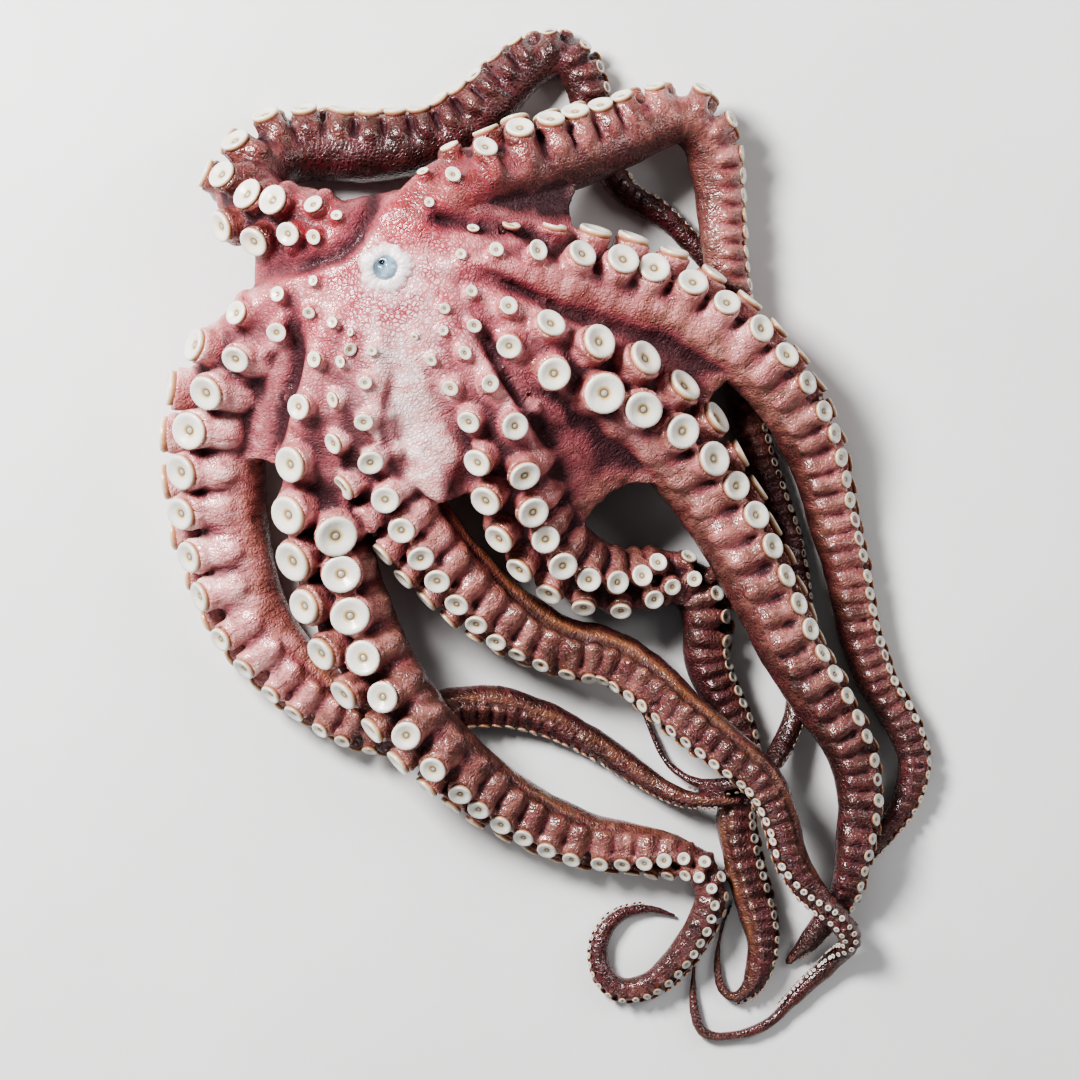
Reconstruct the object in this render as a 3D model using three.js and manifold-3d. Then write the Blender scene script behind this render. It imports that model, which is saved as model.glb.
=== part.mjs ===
// A whole octopus as it lies on a table: mouth up, the bag of its mantle underneath, and its eight arms
// draped and coiled around it. Millimetres, +Z up. Arm routes are measured from the mouth.
import * as THREE from "three";
import { mergeVertices } from "three/addons/utils/BufferGeometryUtils.js";
import Module from "manifold-3d";

const wasm = await Module();
wasm.setup();

// ---- Driving dimensions ----------------------------------------------------------------------
const MOUTH_TOP = 76; // top of the lips above the table
const LIP_RADIUS = 13;
const LIP_MOUND_RADIUS = 35;
const BEAK_RADIUS = 5.6;
const BEAK_HEIGHT = 7.5; // what stands proud of the lips' floor
const BEAK_ROOT = 7; // what is sunk in the flesh
const BEAK_GAP = 0.35; // free space around the sunk part
const MANTLE_HALF = [62, 45, 30]; // half length, half width, half height of the bag
const MANTLE_CENTRE = [33, -32]; // from the mouth
const MANTLE_TURN = -35; // degrees about +Z
const REST_FLAT = 1.5; // how much of every round underside is flattened by the table
const WEB_THICKNESS = 6.8;
const WELD = 0.05; // corners closer than this are one
const ARM_CORNERS = [-50, 0, 50, 100, 155, 205, 260]; // round an arm, in degrees from where its suckers face
const ROW_ANGLE = 25; // the two sucker rows stand this far either side of that
const BEAD_STEP = 13.4; // stretch of skin for each bead where the suckers are small
const SUCKER_PITCH = 1.14; // sucker spacing along one row, in sucker diameters
const SUCKER_DISC_LEAST = 5.1; // smaller suckers than this radius are beads
const STALK_HEIGHT = 0.95; // how far a sucker stands off the arm, in sucker radii
const HEXAGON = [240, 300, 0, 60, 120, 180]; // corners of a sucker's disc, in degrees
const SUCKERS_START = 45; // arm length over which suckers grow from a third of their size to full size

// Each arm's route: [x, y, height, flesh radius, roll]. Roll is where the suckers face, seen along the
// arm: 0 is up, +90 to the right of travel and -90 to the left. sucker is its radius in flesh radii.
const ARMS = {
  upper_left: {
    sucker: 0.42,
    route: [
      [-9, 8, 65, 9, 0],
      [-20, 15, 61, 12, 0],
      [-32, 19, 55, 14, 0],
      [-45, 21, 45, 14.5, -15],
      [-55, 31, 33, 14, -50],
      [-49, 44, 20, 13.5, -88],
      [-33, 50, 12, 12.8, -98],
      [-7, 49, 11.6, 12.4, -100],
      [17, 53, 10.8, 11.5, -98],
      [35, 63, 10.3, 11, -95],
      [49, 77, 9.3, 10, -95],
      [61, 86, 8.4, 9, -95],
      [72, 86, 7.6, 8.2, -85],
      [79, 74, 7.6, 7.5, -90],
      [83, 53, 6.4, 6.4, -90],
      [94, 34, 5, 4.8, -95],
      [109, 24, 4.6, 4.4, -92],
      [121, 13, 4, 3.8, -92],
      [130, 1, 3.4, 3.2, -85],
      [136, -13, 2.8, 2.6, -90],
      [141, -27, 1.9, 1.8, -90],
      [146, -39, 1.2, 1, -90],
    ],
  },
  top: {
    sucker: 0.43,
    route: [
      [5, 10, 66, 9, -10],
      [15, 24, 63, 12, -25],
      [30, 33, 56, 14.5, -55],
      [51, 40, 46, 15, -74],
      [71, 46, 36, 14, -82],
      [91, 53, 28, 12.5, -88],
      [106, 60, 25, 11.5, -92],
      [119, 62, 21, 10.8, -95],
      [128, 53, 16, 10, -98],
      [131, 37, 13, 9, -100],
      [133, 17, 14, 8, -100],
      [136, -5, 14.2, 7.2, -98],
      [140, -31, 10, 6.8, -85],
      [144, -59, 7, 6.4, -80],
      [151, -83, 6.2, 6, -80],
      [160, -109, 5.4, 5.6, -85],
      [165, -139, 5.6, 5.2, -90],
      [165, -167, 5.2, 4.6, -95],
      [160, -186, 8, 4.2, -90],
      [151, -199, 16.6, 3.7, -90],
      [139, -205, 16.6, 3.4, -90],
      [124, -205, 9, 2.6, -90],
      [112, -197, 4, 2, -90],
      [105, -183, 2, 1.6, -90],
      [100, -170, 1.6, 0.9, -90],
    ],
  },
  upper_right: {
    sucker: 0.45,
    route: [
      [10, 2, 67, 9, -15],
      [25, 4, 64, 12, -30],
      [45, 3, 58, 14, -45],
      [69, -2, 48, 15.5, -55],
      [93, -8, 38, 16, -60],
      [117, -16, 34, 15, -62],
      [139, -30, 31.5, 13.5, -65],
      [158, -50, 24, 12, -70],
      [170, -72, 14, 10.5, -75],
      [177, -97, 8.9, 9, -78],
      [183, -119, 7.7, 8.2, -80],
      [188, -143, 7.1, 7.6, -80],
      [196, -165, 6.6, 7, -80],
      [206, -182, 6, 6.4, -80],
      [211, -197, 5.4, 5.8, -85],
      [207, -213, 4.9, 5.2, -90],
      [198, -226, 4.8, 4.4, -95],
      [190, -236, 3.6, 3.2, -95],
      [184, -246, 2, 1.4, -95],
    ],
  },
  right: {
    sucker: 0.48,
    route: [
      [8, -4, 67, 9, 0],
      [25, -11, 64, 12, 0],
      [47, -23, 58, 15, -5],
      [69, -36, 52, 17, -10],
      [91, -49, 43, 17.5, -25],
      [111, -67, 34, 16.5, -45],
      [126, -87, 27, 15, -60],
      [139, -109, 25, 13.5, -70],
      [152, -135, 25, 12, -75],
      [163, -157, 24, 11, -78],
      [175, -176, 20, 10, -80],
      [185, -194, 15.5, 8.8, -80],
      [188, -211, 14, 8, -80],
      [187, -226, 14.6, 7.4, -75],
      [185, -240, 12, 6.4, -70],
      [182, -251, 7.4, 5.6, -85],
      [174, -262, 5.2, 4.6, -108],
      [167, -271, 3.4, 3.2, -112],
      [160, -279, 1.6, 1.2, -112],
    ],
  },
  lower_right: {
    sucker: 0.38,
    route: [
      [6, -8, 67, 9, 5],
      [17, -23, 64, 12, 10],
      [33, -42, 60, 15, 10],
      [45, -61, 54, 17, 12],
      [50, -79, 46, 17, 15],
      [56, -96, 37, 16, 22],
      [67, -110, 29, 15, 35],
      [81, -120, 22, 13.5, 30],
      [97, -124, 16, 12, 15],
      [112, -122, 12.5, 10.8, -10],
      [123, -127, 11, 9.8, -50],
      [127, -139, 10, 9, -75],
      [127, -155, 7.8, 8.2, -85],
      [133, -171, 6.9, 7.4, -85],
      [140, -186, 6.4, 6.8, -85],
      [142, -202, 6.2, 6.6, -85],
      [139, -219, 6.4, 7, -80],
      [142, -237, 6.6, 7.2, -75],
      [147, -255, 6.5, 6.9, -80],
      [150, -271, 6, 5.8, -85],
      [147, -285, 4.4, 4.2, -98],
      [140, -292, 2.9, 2.6, -104],
      [134, -288, 2.3, 2, -104],
      [132, -277, 2, 1.8, -90],
      [134, -264, 1.6, 1.4, -90],
      [138, -254, 1.1, 0.8, -90],
    ],
  },
  lower: {
    sucker: 0.38,
    route: [
      [-2, -9, 67, 9, 0],
      [-4, -27, 65, 12, 10],
      [-3, -49, 60, 14.5, 20],
      [1, -71, 52, 15.5, 25],
      [10, -93, 43, 15, 35],
      [22, -112, 34, 14, 50],
      [37, -128, 26, 13, 65],
      [55, -141, 20, 11.5, 80],
      [73, -149, 18, 10.5, 88],
      [90, -153, 18, 10, 88],
      [105, -163, 21, 9.5, 85],
      [120, -177, 26.5, 9, 80],
      [137, -191, 30, 8.2, 80],
      [151, -204, 29.5, 7.2, 80],
      [158, -219, 25, 6.6, 75],
      [162, -234, 21, 6.2, 70],
      [170, -248, 17.5, 5.4, 45],
      [181, -260, 16.4, 4.6, 10],
      [186, -269, 11, 4.2, 20],
      [178, -278, 4, 3.5, 60],
      [166, -289, 3.1, 2.9, 70],
      [153, -302, 2.8, 2.5, 75],
      [139, -307, 2.5, 2.2, 80],
      [127, -306, 2.3, 2, 80],
      [123, -295, 2, 1.8, 80],
      [123, -281, 1.8, 1.6, 80],
      [126, -269, 1.2, 0.8, 80],
    ],
  },
  lower_left: {
    sucker: 0.52,
    route: [
      [-6, -8, 66, 9, 0],
      [-16, -23, 64, 12, 0],
      [-23, -43, 58, 14.5, 5],
      [-26, -65, 50, 16, 10],
      [-25, -87, 41, 16.5, 15],
      [-22, -110, 34, 16.5, 20],
      [-16, -132, 31, 16, 25],
      [-6, -153, 31, 15, 35],
      [7, -172, 32, 13.5, 45],
      [21, -189, 28.5, 12.5, 55],
      [38, -204, 18, 11.5, 65],
      [57, -216, 11.8, 10.5, 75],
      [79, -226, 9, 9.6, 80],
      [99, -230, 8.3, 8.8, 65],
      [115, -234, 8.4, 7.8, 35],
      [126, -240, 9.4, 6.6, 0],
      [129, -250, 9.4, 5.8, -40],
      [125, -262, 8.5, 5.6, -55],
      [117, -275, 6.2, 5.4, -60],
      [106, -285, 4.8, 5, -70],
      [94, -288, 4.1, 4.4, -80],
      [86, -281, 3.9, 3.8, -85],
      [85, -270, 3.4, 3.4, -85],
      [91, -260, 2.8, 2.8, -85],
      [103, -256, 2, 2, -85],
      [116, -259, 1.3, 1, -85],
    ],
  },
  left: {
    sucker: 0.52,
    route: [
      [-8, -3, 66, 9, 0],
      [-25, -9, 62, 12, 0],
      [-41, -18, 54, 15, 10],
      [-55, -31, 42, 17, 30],
      [-63, -48, 32, 17.5, 50],
      [-66, -67, 24, 17.5, 65],
      [-66, -87, 17.6, 17, 75],
      [-63, -107, 15, 16, 80],
      [-58, -129, 13.5, 14.5, 85],
      [-47, -148, 12.1, 13, 90],
      [-32, -164, 10.8, 11.5, 90],
      [-16, -176, 9.4, 10, 90],
      [-1, -182, 8.5, 9, 90],
      [15, -178, 7.7, 8.2, 98],
      [31, -173, 7.1, 7.6, 106],
      [49, -174, 6.4, 6.8, 110],
      [67, -180, 5.5, 5.8, 110],
      [85, -190, 4.9, 5, 110],
      [101, -201, 7, 4.2, 110],
      [117, -210, 11.5, 3.4, 110],
      [131, -212, 15, 2.6, 110],
      [142, -212, 15.6, 1.4, 90],
    ],
  },
};

// The skin that joins neighbouring arms, and how far along them it runs.
const WEBS = [
  ["upper_left", "top", 42, 40],
  ["top", "upper_right", 60, 60],
  ["upper_right", "right", 136, 132],
  ["right", "lower_right", 130, 115],
  ["lower_right", "lower", 80, 85],
  ["lower", "lower_left", 80, 90],
  ["lower_left", "left", 110, 120],
  ["left", "upper_left", 50, 44],
];

// ---- Solids ----------------------------------------------------------------------------------
function solidOf(geometry) {
  const bare = geometry.clone();
  bare.deleteAttribute("normal");
  bare.deleteAttribute("uv");
  const merged = mergeVertices(bare, 1e-4);
  return new wasm.Manifold(
    new wasm.Mesh({
      numProp: 3,
      vertProperties: new Float32Array(merged.attributes.position.array),
      triVerts: new Uint32Array(merged.index.array),
    }),
  );
}

function geometryOf(solid) {
  // Joining leaves slivers: corners closer than WELD become one, and the faces that collapse are dropped.
  const mesh = solid.getMesh();
  const raw = new THREE.BufferGeometry()
    .setAttribute("position", new THREE.BufferAttribute(mesh.vertProperties, 3))
    .setIndex(new THREE.BufferAttribute(mesh.triVerts, 1));
  const welded = mergeVertices(raw, WELD);
  const faces = [];
  for (let i = 0; i < welded.index.count; i += 3) {
    const face = [0, 1, 2].map((k) => welded.index.getX(i + k));
    if (new Set(face).size === 3) faces.push(face);
  }
  const kept = withoutFolds(faces);
  return welded.setIndex(kept.flat());
}

function withoutFolds(faces) {
  // Two faces on the same three corners, back to back, are a sliver folded flat: both go.
  const seen = new Map();
  for (const face of faces) {
    const key = [...face].sort((a, b) => a - b).join();
    if (seen.has(key)) seen.delete(key);
    else seen.set(key, face);
  }
  return [...seen.values()];
}

function gridGeometry(rows, closedRows) {
  // Quads between rows of points. A closed row wraps round, and the two end rows are then capped.
  const width = rows[0].length;
  const positions = rows.flat().flatMap((p) => [p.x, p.y, p.z]);
  const at = (i, k) => i * width + (k % width);
  const index = [];
  const lastColumn = closedRows ? width : width - 1;
  for (let i = 0; i + 1 < rows.length; i++)
    for (let k = 0; k < lastColumn; k++) {
      index.push(at(i, k), at(i, k + 1), at(i + 1, k));
      index.push(at(i, k + 1), at(i + 1, k + 1), at(i + 1, k));
    }
  for (let k = 1; k + 1 < width && closedRows; k++) {
    const end = rows.length - 1;
    index.push(at(0, 0), at(0, k + 1), at(0, k));
    index.push(at(end, 0), at(end, k), at(end, k + 1));
  }
  return new THREE.BufferGeometry()
    .setAttribute("position", new THREE.Float32BufferAttribute(positions, 3))
    .setIndex(index);
}

// ---- Arms ------------------------------------------------------------------------------------
class ArmLine {
  constructor({ route, sucker }) {
    this.sucker = sucker;
    this.centre = new THREE.CatmullRomCurve3(
      route.map(([x, y, z]) => new THREE.Vector3(x, y, z)),
      false,
      "catmullrom",
      0.5,
    );
    this.section = new THREE.CatmullRomCurve3(
      route.map(([, , , radius, roll]) => new THREE.Vector3(radius, roll, 0)),
      false,
      "catmullrom",
      0.5,
    );
    this.centre.arcLengthDivisions = 40 * route.length;
    this.length = this.centre.getLength();
  }

  // Everything about the arm at a distance along it: centre, flesh radius, and where its suckers face.
  at(distance) {
    const t = this.centre.getUtoTmapping(Math.min(1, distance / this.length));
    const centre = this.centre.getPoint(t);
    const along = this.centre.getTangent(t);
    const { x: radius, y: roll } = this.section.getPoint(t);
    const right = new THREE.Vector3(along.y, -along.x, 0).normalize();
    const up = new THREE.Vector3().crossVectors(right, along);
    const angle = THREE.MathUtils.degToRad(roll);
    const facing = up.clone().multiplyScalar(Math.cos(angle)).addScaledVector(right, Math.sin(angle));
    const across = right.clone().multiplyScalar(Math.cos(angle)).addScaledVector(up, -Math.sin(angle));
    const grown = THREE.MathUtils.smoothstep(distance, 0, 2 * SUCKERS_START);
    return { centre, along, radius, facing, across, suckerRadius: radius * this.sucker * (0.35 + 0.65 * grown) };
  }
}

function armSolid(line) {
  const rings = [];
  let distance = 0;
  while (distance < line.length - BEAD_STEP / 2) {
    const ring = line.at(distance);
    rings.push(ring);
    distance += ring.suckerRadius < SUCKER_DISC_LEAST ? BEAD_STEP : SUCKER_PITCH * ring.suckerRadius;
  }
  rings.push(line.at(line.length));
  return solidOf(armGeometry(rings));
}

function armGeometry(rings) {
  const columns = ARM_CORNERS.length;
  const points = rings.flatMap((ring) => ARM_CORNERS.map((angle) => inSection(ring, angle, ring.radius)));
  const index = [];
  const at = (i, k) => i * columns + (k % columns);
  const last = rings.length - 1;
  const covered = new Set();
  // The rows take turns: odd rings carry a sucker of the first row, even rings one of the second.
  for (let i = 1; i < last; i++) {
    const k = i % 2 ? 0 : 1;
    const edge = [at(i - 1, k), at(i - 1, k + 1), at(i, k + 1), at(i + 1, k + 1), at(i + 1, k), at(i, k)];
    addSucker(points, index, edge, rings[i], k ? ROW_ANGLE : -ROW_ANGLE);
    covered.add(at(i - 1, k)).add(at(i, k));
  }
  for (let i = 0; i < last; i++)
    for (let k = 0; k < columns; k++) {
      if (covered.has(at(i, k))) continue;
      index.push(at(i, k), at(i, k + 1), at(i + 1, k));
      index.push(at(i, k + 1), at(i + 1, k + 1), at(i + 1, k));
    }
  for (let k = 1; k + 1 < columns; k++) {
    index.push(at(0, 0), at(0, k + 1), at(0, k));
    index.push(at(last, 0), at(last, k), at(last, k + 1));
  }
  return new THREE.BufferGeometry()
    .setAttribute("position", new THREE.Float32BufferAttribute(points.flatMap((p) => [p.x, p.y, p.z]), 3))
    .setIndex(index);
}

function inSection({ centre, facing, across }, degrees, reach) {
  const angle = THREE.MathUtils.degToRad(degrees);
  return centre
    .clone()
    .addScaledVector(facing, reach * Math.cos(angle))
    .addScaledVector(across, reach * Math.sin(angle));
}

function addSucker(points, index, edge, ring, rowAngle) {
  // A stalk that rises from its patch of skin and flares to a six-sided disc, or comes to a bead.
  const top = inSection(ring, rowAngle, ring.radius + STALK_HEIGHT * ring.suckerRadius);
  const first = points.length;
  if (ring.suckerRadius < SUCKER_DISC_LEAST) {
    points.push(top);
    edge.forEach((corner, k) => index.push(corner, edge[(k + 1) % 6], first));
    return;
  }
  const sideways = inSection(ring, rowAngle + 90, 1).sub(ring.centre);
  for (const degrees of HEXAGON) {
    const angle = THREE.MathUtils.degToRad(degrees);
    const corner = top
      .clone()
      .addScaledVector(sideways, ring.suckerRadius * Math.cos(angle))
      .addScaledVector(ring.along, ring.suckerRadius * Math.sin(angle));
    points.push(corner);
  }
  edge.forEach((corner, k) => {
    const next = (k + 1) % 6;
    index.push(corner, edge[next], first + k);
    index.push(edge[next], first + next, first + k);
  });
  for (let k = 1; k < 5; k++) index.push(first, first + k, first + k + 1);
}

// ---- Web, crown and mantle -------------------------------------------------------------------
function webSolid(first, second, firstReach, secondReach) {
  const rows = 7;
  const columns = 4;
  const loop = [];
  for (let i = 0; i <= rows; i++) {
    const a = first.at(6 + (firstReach * i) / rows);
    const b = second.at(6 + (secondReach * i) / rows);
    const top = [];
    for (let k = 0; k <= columns; k++) {
      const share = k / columns;
      const point = a.centre.clone().lerp(b.centre, share);
      point.z -= 2 + 3 * Math.sin(Math.PI * share) * (i / rows);
      top.push(point);
    }
    const under = top.map((p) => p.clone().setZ(p.z - WEB_THICKNESS)).reverse();
    loop.push([...top, ...under]);
  }
  const solid = solidOf(gridGeometry(loop, true));
  if (solid.volume() > 0) return solid;
  return solidOf(gridGeometry(loop.reverse(), true));
}

function crownSolid() {
  // The mound that the arms grow from, with the ring of the lips on top and a dish for the beak.
  const floor = MOUTH_TOP - BEAK_HEIGHT * 0.6;
  const profile = [
    [0, 30],
    [LIP_MOUND_RADIUS * 0.9, 34],
    [LIP_MOUND_RADIUS, 48],
    [LIP_MOUND_RADIUS * 0.85, 62],
    [LIP_RADIUS * 1.5, MOUTH_TOP - 7],
    [LIP_RADIUS, MOUTH_TOP - 2],
    [LIP_RADIUS * 0.75, MOUTH_TOP],
    [BEAK_RADIUS * 1.15, MOUTH_TOP - 1],
    [BEAK_RADIUS + BEAK_GAP, floor],
    [BEAK_RADIUS + BEAK_GAP, MOUTH_TOP - BEAK_HEIGHT - BEAK_ROOT + 4],
    [0, MOUTH_TOP - BEAK_HEIGHT - BEAK_ROOT + 3],
  ];
  return solidOf(lathe(profile, 24));
}

function lathe(profile, sides) {
  // A profile of [radius, height], turned about +Z.
  const outline = profile.map(([radius, height]) => new THREE.Vector2(radius, height));
  return new THREE.LatheGeometry(outline, sides).rotateX(Math.PI / 2);
}

function mantleSolid() {
  const bag = new THREE.SphereGeometry(1, 20, 10)
    .rotateX(Math.PI / 2)
    .scale(...MANTLE_HALF)
    .rotateZ(THREE.MathUtils.degToRad(MANTLE_TURN))
    .translate(...MANTLE_CENTRE, MANTLE_HALF[2] - REST_FLAT);
  return solidOf(bag);
}

function tableCut() {
  // All that lies above the table's top.
  const size = 900;
  return solidOf(new THREE.BoxGeometry(size, size, size).translate(0, 0, size / 2));
}

function beakGeometry() {
  const base = MOUTH_TOP - BEAK_HEIGHT - BEAK_ROOT + 5;
  const shoulder = MOUTH_TOP - 2;
  const tip = MOUTH_TOP + 1.5;
  return lathe(
    [
      [0, base],
      [BEAK_RADIUS * 0.9, base],
      [BEAK_RADIUS, base + 2],
      [BEAK_RADIUS, shoulder - 3],
      [BEAK_RADIUS * 0.86, shoulder],
      [BEAK_RADIUS * 0.45, tip - 0.8],
      [0, tip],
    ],
    20,
  );
}

function octopusSolid() {
  const lines = Object.fromEntries(Object.entries(ARMS).map(([name, arm]) => [name, new ArmLine(arm)]));
  const arms = Object.values(lines).map(armSolid);
  const webs = WEBS.map(([a, b, reachA, reachB]) => webSolid(lines[a], lines[b], reachA, reachB));
  const beakRoom = solidOf(
    new THREE.CylinderGeometry(BEAK_RADIUS + BEAK_GAP, BEAK_RADIUS + BEAK_GAP, 40, 24)
      .rotateX(Math.PI / 2)
      .translate(0, 0, MOUTH_TOP - BEAK_HEIGHT - BEAK_ROOT + 4.5 + 20),
  );
  const shells = wasm.Manifold.union([...arms, ...webs, mantleSolid(), crownSolid()])
    .subtract(beakRoom)
    .intersect(tableCut())
    .decompose();
  // The flesh is solid: pockets shut in under the crown are filled by keeping only the outer skin.
  return shells.reduce((outer, shell) => (shell.volume() > outer.volume() ? shell : outer));
}

// ---- The part --------------------------------------------------------------------------------
const flesh = new THREE.MeshStandardMaterial({ color: 0xb5736f, roughness: 0.35, metalness: 0 });
const horn = new THREE.MeshStandardMaterial({ color: 0x8fa3b0, roughness: 0.3, metalness: 0 });

const octopus = new THREE.Mesh(geometryOf(octopusSolid()), flesh);
octopus.name = "octopus";
const beak = new THREE.Mesh(beakGeometry(), horn);
beak.name = "beak";

const group = new THREE.Group();
group.add(octopus, beak);

// The origin is the middle of the whole outline, on the table.
const outline = new THREE.Box3().setFromObject(group);
const middle = outline.getCenter(new THREE.Vector3());
group.position.set(-middle.x, -middle.y, -outline.min.z);

export default group;
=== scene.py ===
import math
import random

import bpy
import numpy as np
from bpy.props import FloatProperty, FloatVectorProperty, IntProperty, PointerProperty
from mathutils import Matrix, Vector


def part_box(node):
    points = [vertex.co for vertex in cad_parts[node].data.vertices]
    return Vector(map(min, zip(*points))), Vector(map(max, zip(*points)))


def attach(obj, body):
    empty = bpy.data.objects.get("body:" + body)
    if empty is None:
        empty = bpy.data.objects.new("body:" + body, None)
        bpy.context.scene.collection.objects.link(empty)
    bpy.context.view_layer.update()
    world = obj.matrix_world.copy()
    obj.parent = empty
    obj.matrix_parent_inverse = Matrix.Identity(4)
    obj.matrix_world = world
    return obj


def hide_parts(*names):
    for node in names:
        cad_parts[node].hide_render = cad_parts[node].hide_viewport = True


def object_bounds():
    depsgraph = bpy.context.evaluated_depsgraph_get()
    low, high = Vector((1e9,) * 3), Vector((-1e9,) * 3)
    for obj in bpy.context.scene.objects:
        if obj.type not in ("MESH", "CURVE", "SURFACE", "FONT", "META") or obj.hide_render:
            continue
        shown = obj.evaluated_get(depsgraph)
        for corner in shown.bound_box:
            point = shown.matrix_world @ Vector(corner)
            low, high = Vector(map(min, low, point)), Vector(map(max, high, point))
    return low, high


bl_info = {
    "name": "Whole octopus",
    "version": (1, 0, 0),
    "blender": (4, 5, 0),
    "location": "3D View > Sidebar > Octopus",
    "description": "Models a whole octopus lying mouth up, with its suckers, beak and wet skin",
    "category": "Add Mesh",
}

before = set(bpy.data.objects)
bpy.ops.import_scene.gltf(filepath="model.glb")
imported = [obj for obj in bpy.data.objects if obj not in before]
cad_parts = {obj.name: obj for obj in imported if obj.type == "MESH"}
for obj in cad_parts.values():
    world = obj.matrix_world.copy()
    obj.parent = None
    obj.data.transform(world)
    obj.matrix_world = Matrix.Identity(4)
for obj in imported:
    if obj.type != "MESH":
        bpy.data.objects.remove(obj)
CAD_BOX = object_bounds()

MM = 0.001
BEAK_LOW, BEAK_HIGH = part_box("beak")
MOUTH = Vector(((BEAK_LOW.x + BEAK_HIGH.x) / 2, (BEAK_LOW.y + BEAK_HIGH.y) / 2, 0.0))
MOUTH_TOP = BEAK_HIGH.z - 1.5 * MM
FLOOR_CLEARANCE = 0.0003  # the lowest that the skin and the cups reach, in metres

# Sizes in millimetres, with places from the mouth, unless a line says otherwise. Those with MM are in metres.
SAMPLE = 1.0  # spacing of an arm's samples
THINNED = 3  # one sample in so many makes the arm's flesh and the skin's fit
SPLINE_STEPS = 60  # points of the spline for each point of a route
SEAM_ANGLE = 106  # degrees round an arm, from the way its suckers face, to the groove beside its keel
LEAST_STALK = 1.2  # suckers of a smaller radius have no stalk
RIDGED_FROM = 0.45  # share of full growth from which a sucker throws a ridge
LEAST_STEP = 1.15  # between one sucker and the next, along the arm
CROWDED = 0.8  # suckers of two arms stay this far apart, in the sum of their radii
BARE_TIP = 2  # the stretch at an arm's tip that has no suckers
LEAN = 0.13  # the most that a sucker leans, along and across its arm
LIP_RING = 6.7
LIP_FLESH = 2.4
LIP_HEIGHT = MOUTH_TOP - 1.9 * MM
CROWN_TOP = MOUTH_TOP - 0.2 * MM
CROWN_RADIUS = 31
CROWN_RISE = 22
CROWN_DEPTH = 26
DISH_DEPTH = 4.6
DISH_RADIUS = 0.29  # in crown radii
FLAP_CENTRE = (14, -60, 58.5)
FLAP_HALF = (13.5, 34, 7.0)
FLAP_RUN = (0.22, -0.90, -0.36)
MANTLE_HALF = (62, 45, 30)
MANTLE_CENTRE = (33, -32)
MANTLE_SUNK = 1.5
MANTLE_TURN = -35  # degrees
MANTLE_LOW = 1.0 * MM
LUMP_SIZE = 16  # of the flesh's unevenness
LEAST_LINE = 0.9  # width of the lines between stalks, where the suckers are small
WEB_START = 4  # where the webs begin along their arms
WEB_RISE = 0.46  # how far a web lies above its arms' lines, in flesh radii

# The stage, in metres: the camera's place from the mouth, its distance above the height it is set for, and
# how much it takes in there; its sensor, in millimetres; the floor, and how far it lies below the octopus.
CAMERA_OFFSET = (60.8 * MM, -107.2 * MM)
CAMERA_DISTANCE = 3.0
CAMERA_AIM_HEIGHT = 0.03
VIEW_WIDTH = 0.432
SENSOR = 36
FLOOR_SIZE = 6
FLOOR_GAP = 0.0002
ROOM_COLOUR = (0.92, 0.95, 1.0, 1.0)
ROOM_STRENGTH = 0.17
# Each light: name, place, size and power.
SOFTBOXES = [
    ("key_light", (-0.7, 0.6, 0.95), (0.40, 0.40), 29),
    ("side_light", (0.95, 0.35, 0.7), (0.35, 0.9), 4.5),
    ("low_light", (-0.3, -1.1, 0.8), (0.9, 0.35), 3),
]

# What an arm has unless its own entry says otherwise. Lists of pairs give [distance from the mouth, value].
ARM_DEFAULTS = {
    "first": 17.0,  # distance of its first sucker
    "sparse": 1.5,  # how much further apart its first suckers stand
    "seam": [(0, 0)],  # strength of the thin keel on its flank
    "shade": [(0, 0.26)],  # how much painted shade darkens its back
    "flank_end": [(0, 112)],  # how far round the arm the lines between stalks reach, in degrees
    "ridge": [(0, 1.0)],  # how full the ridges stand
    "flush": (0.50, 110),  # strength of the rose near the base, partly painted shade, and how far it reaches
    "rib": 0.32,  # thickness of a full ridge in flesh radii
    "rib_angle": (54, 62),  # where the ridges sit round the arm, in degrees
}

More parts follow.
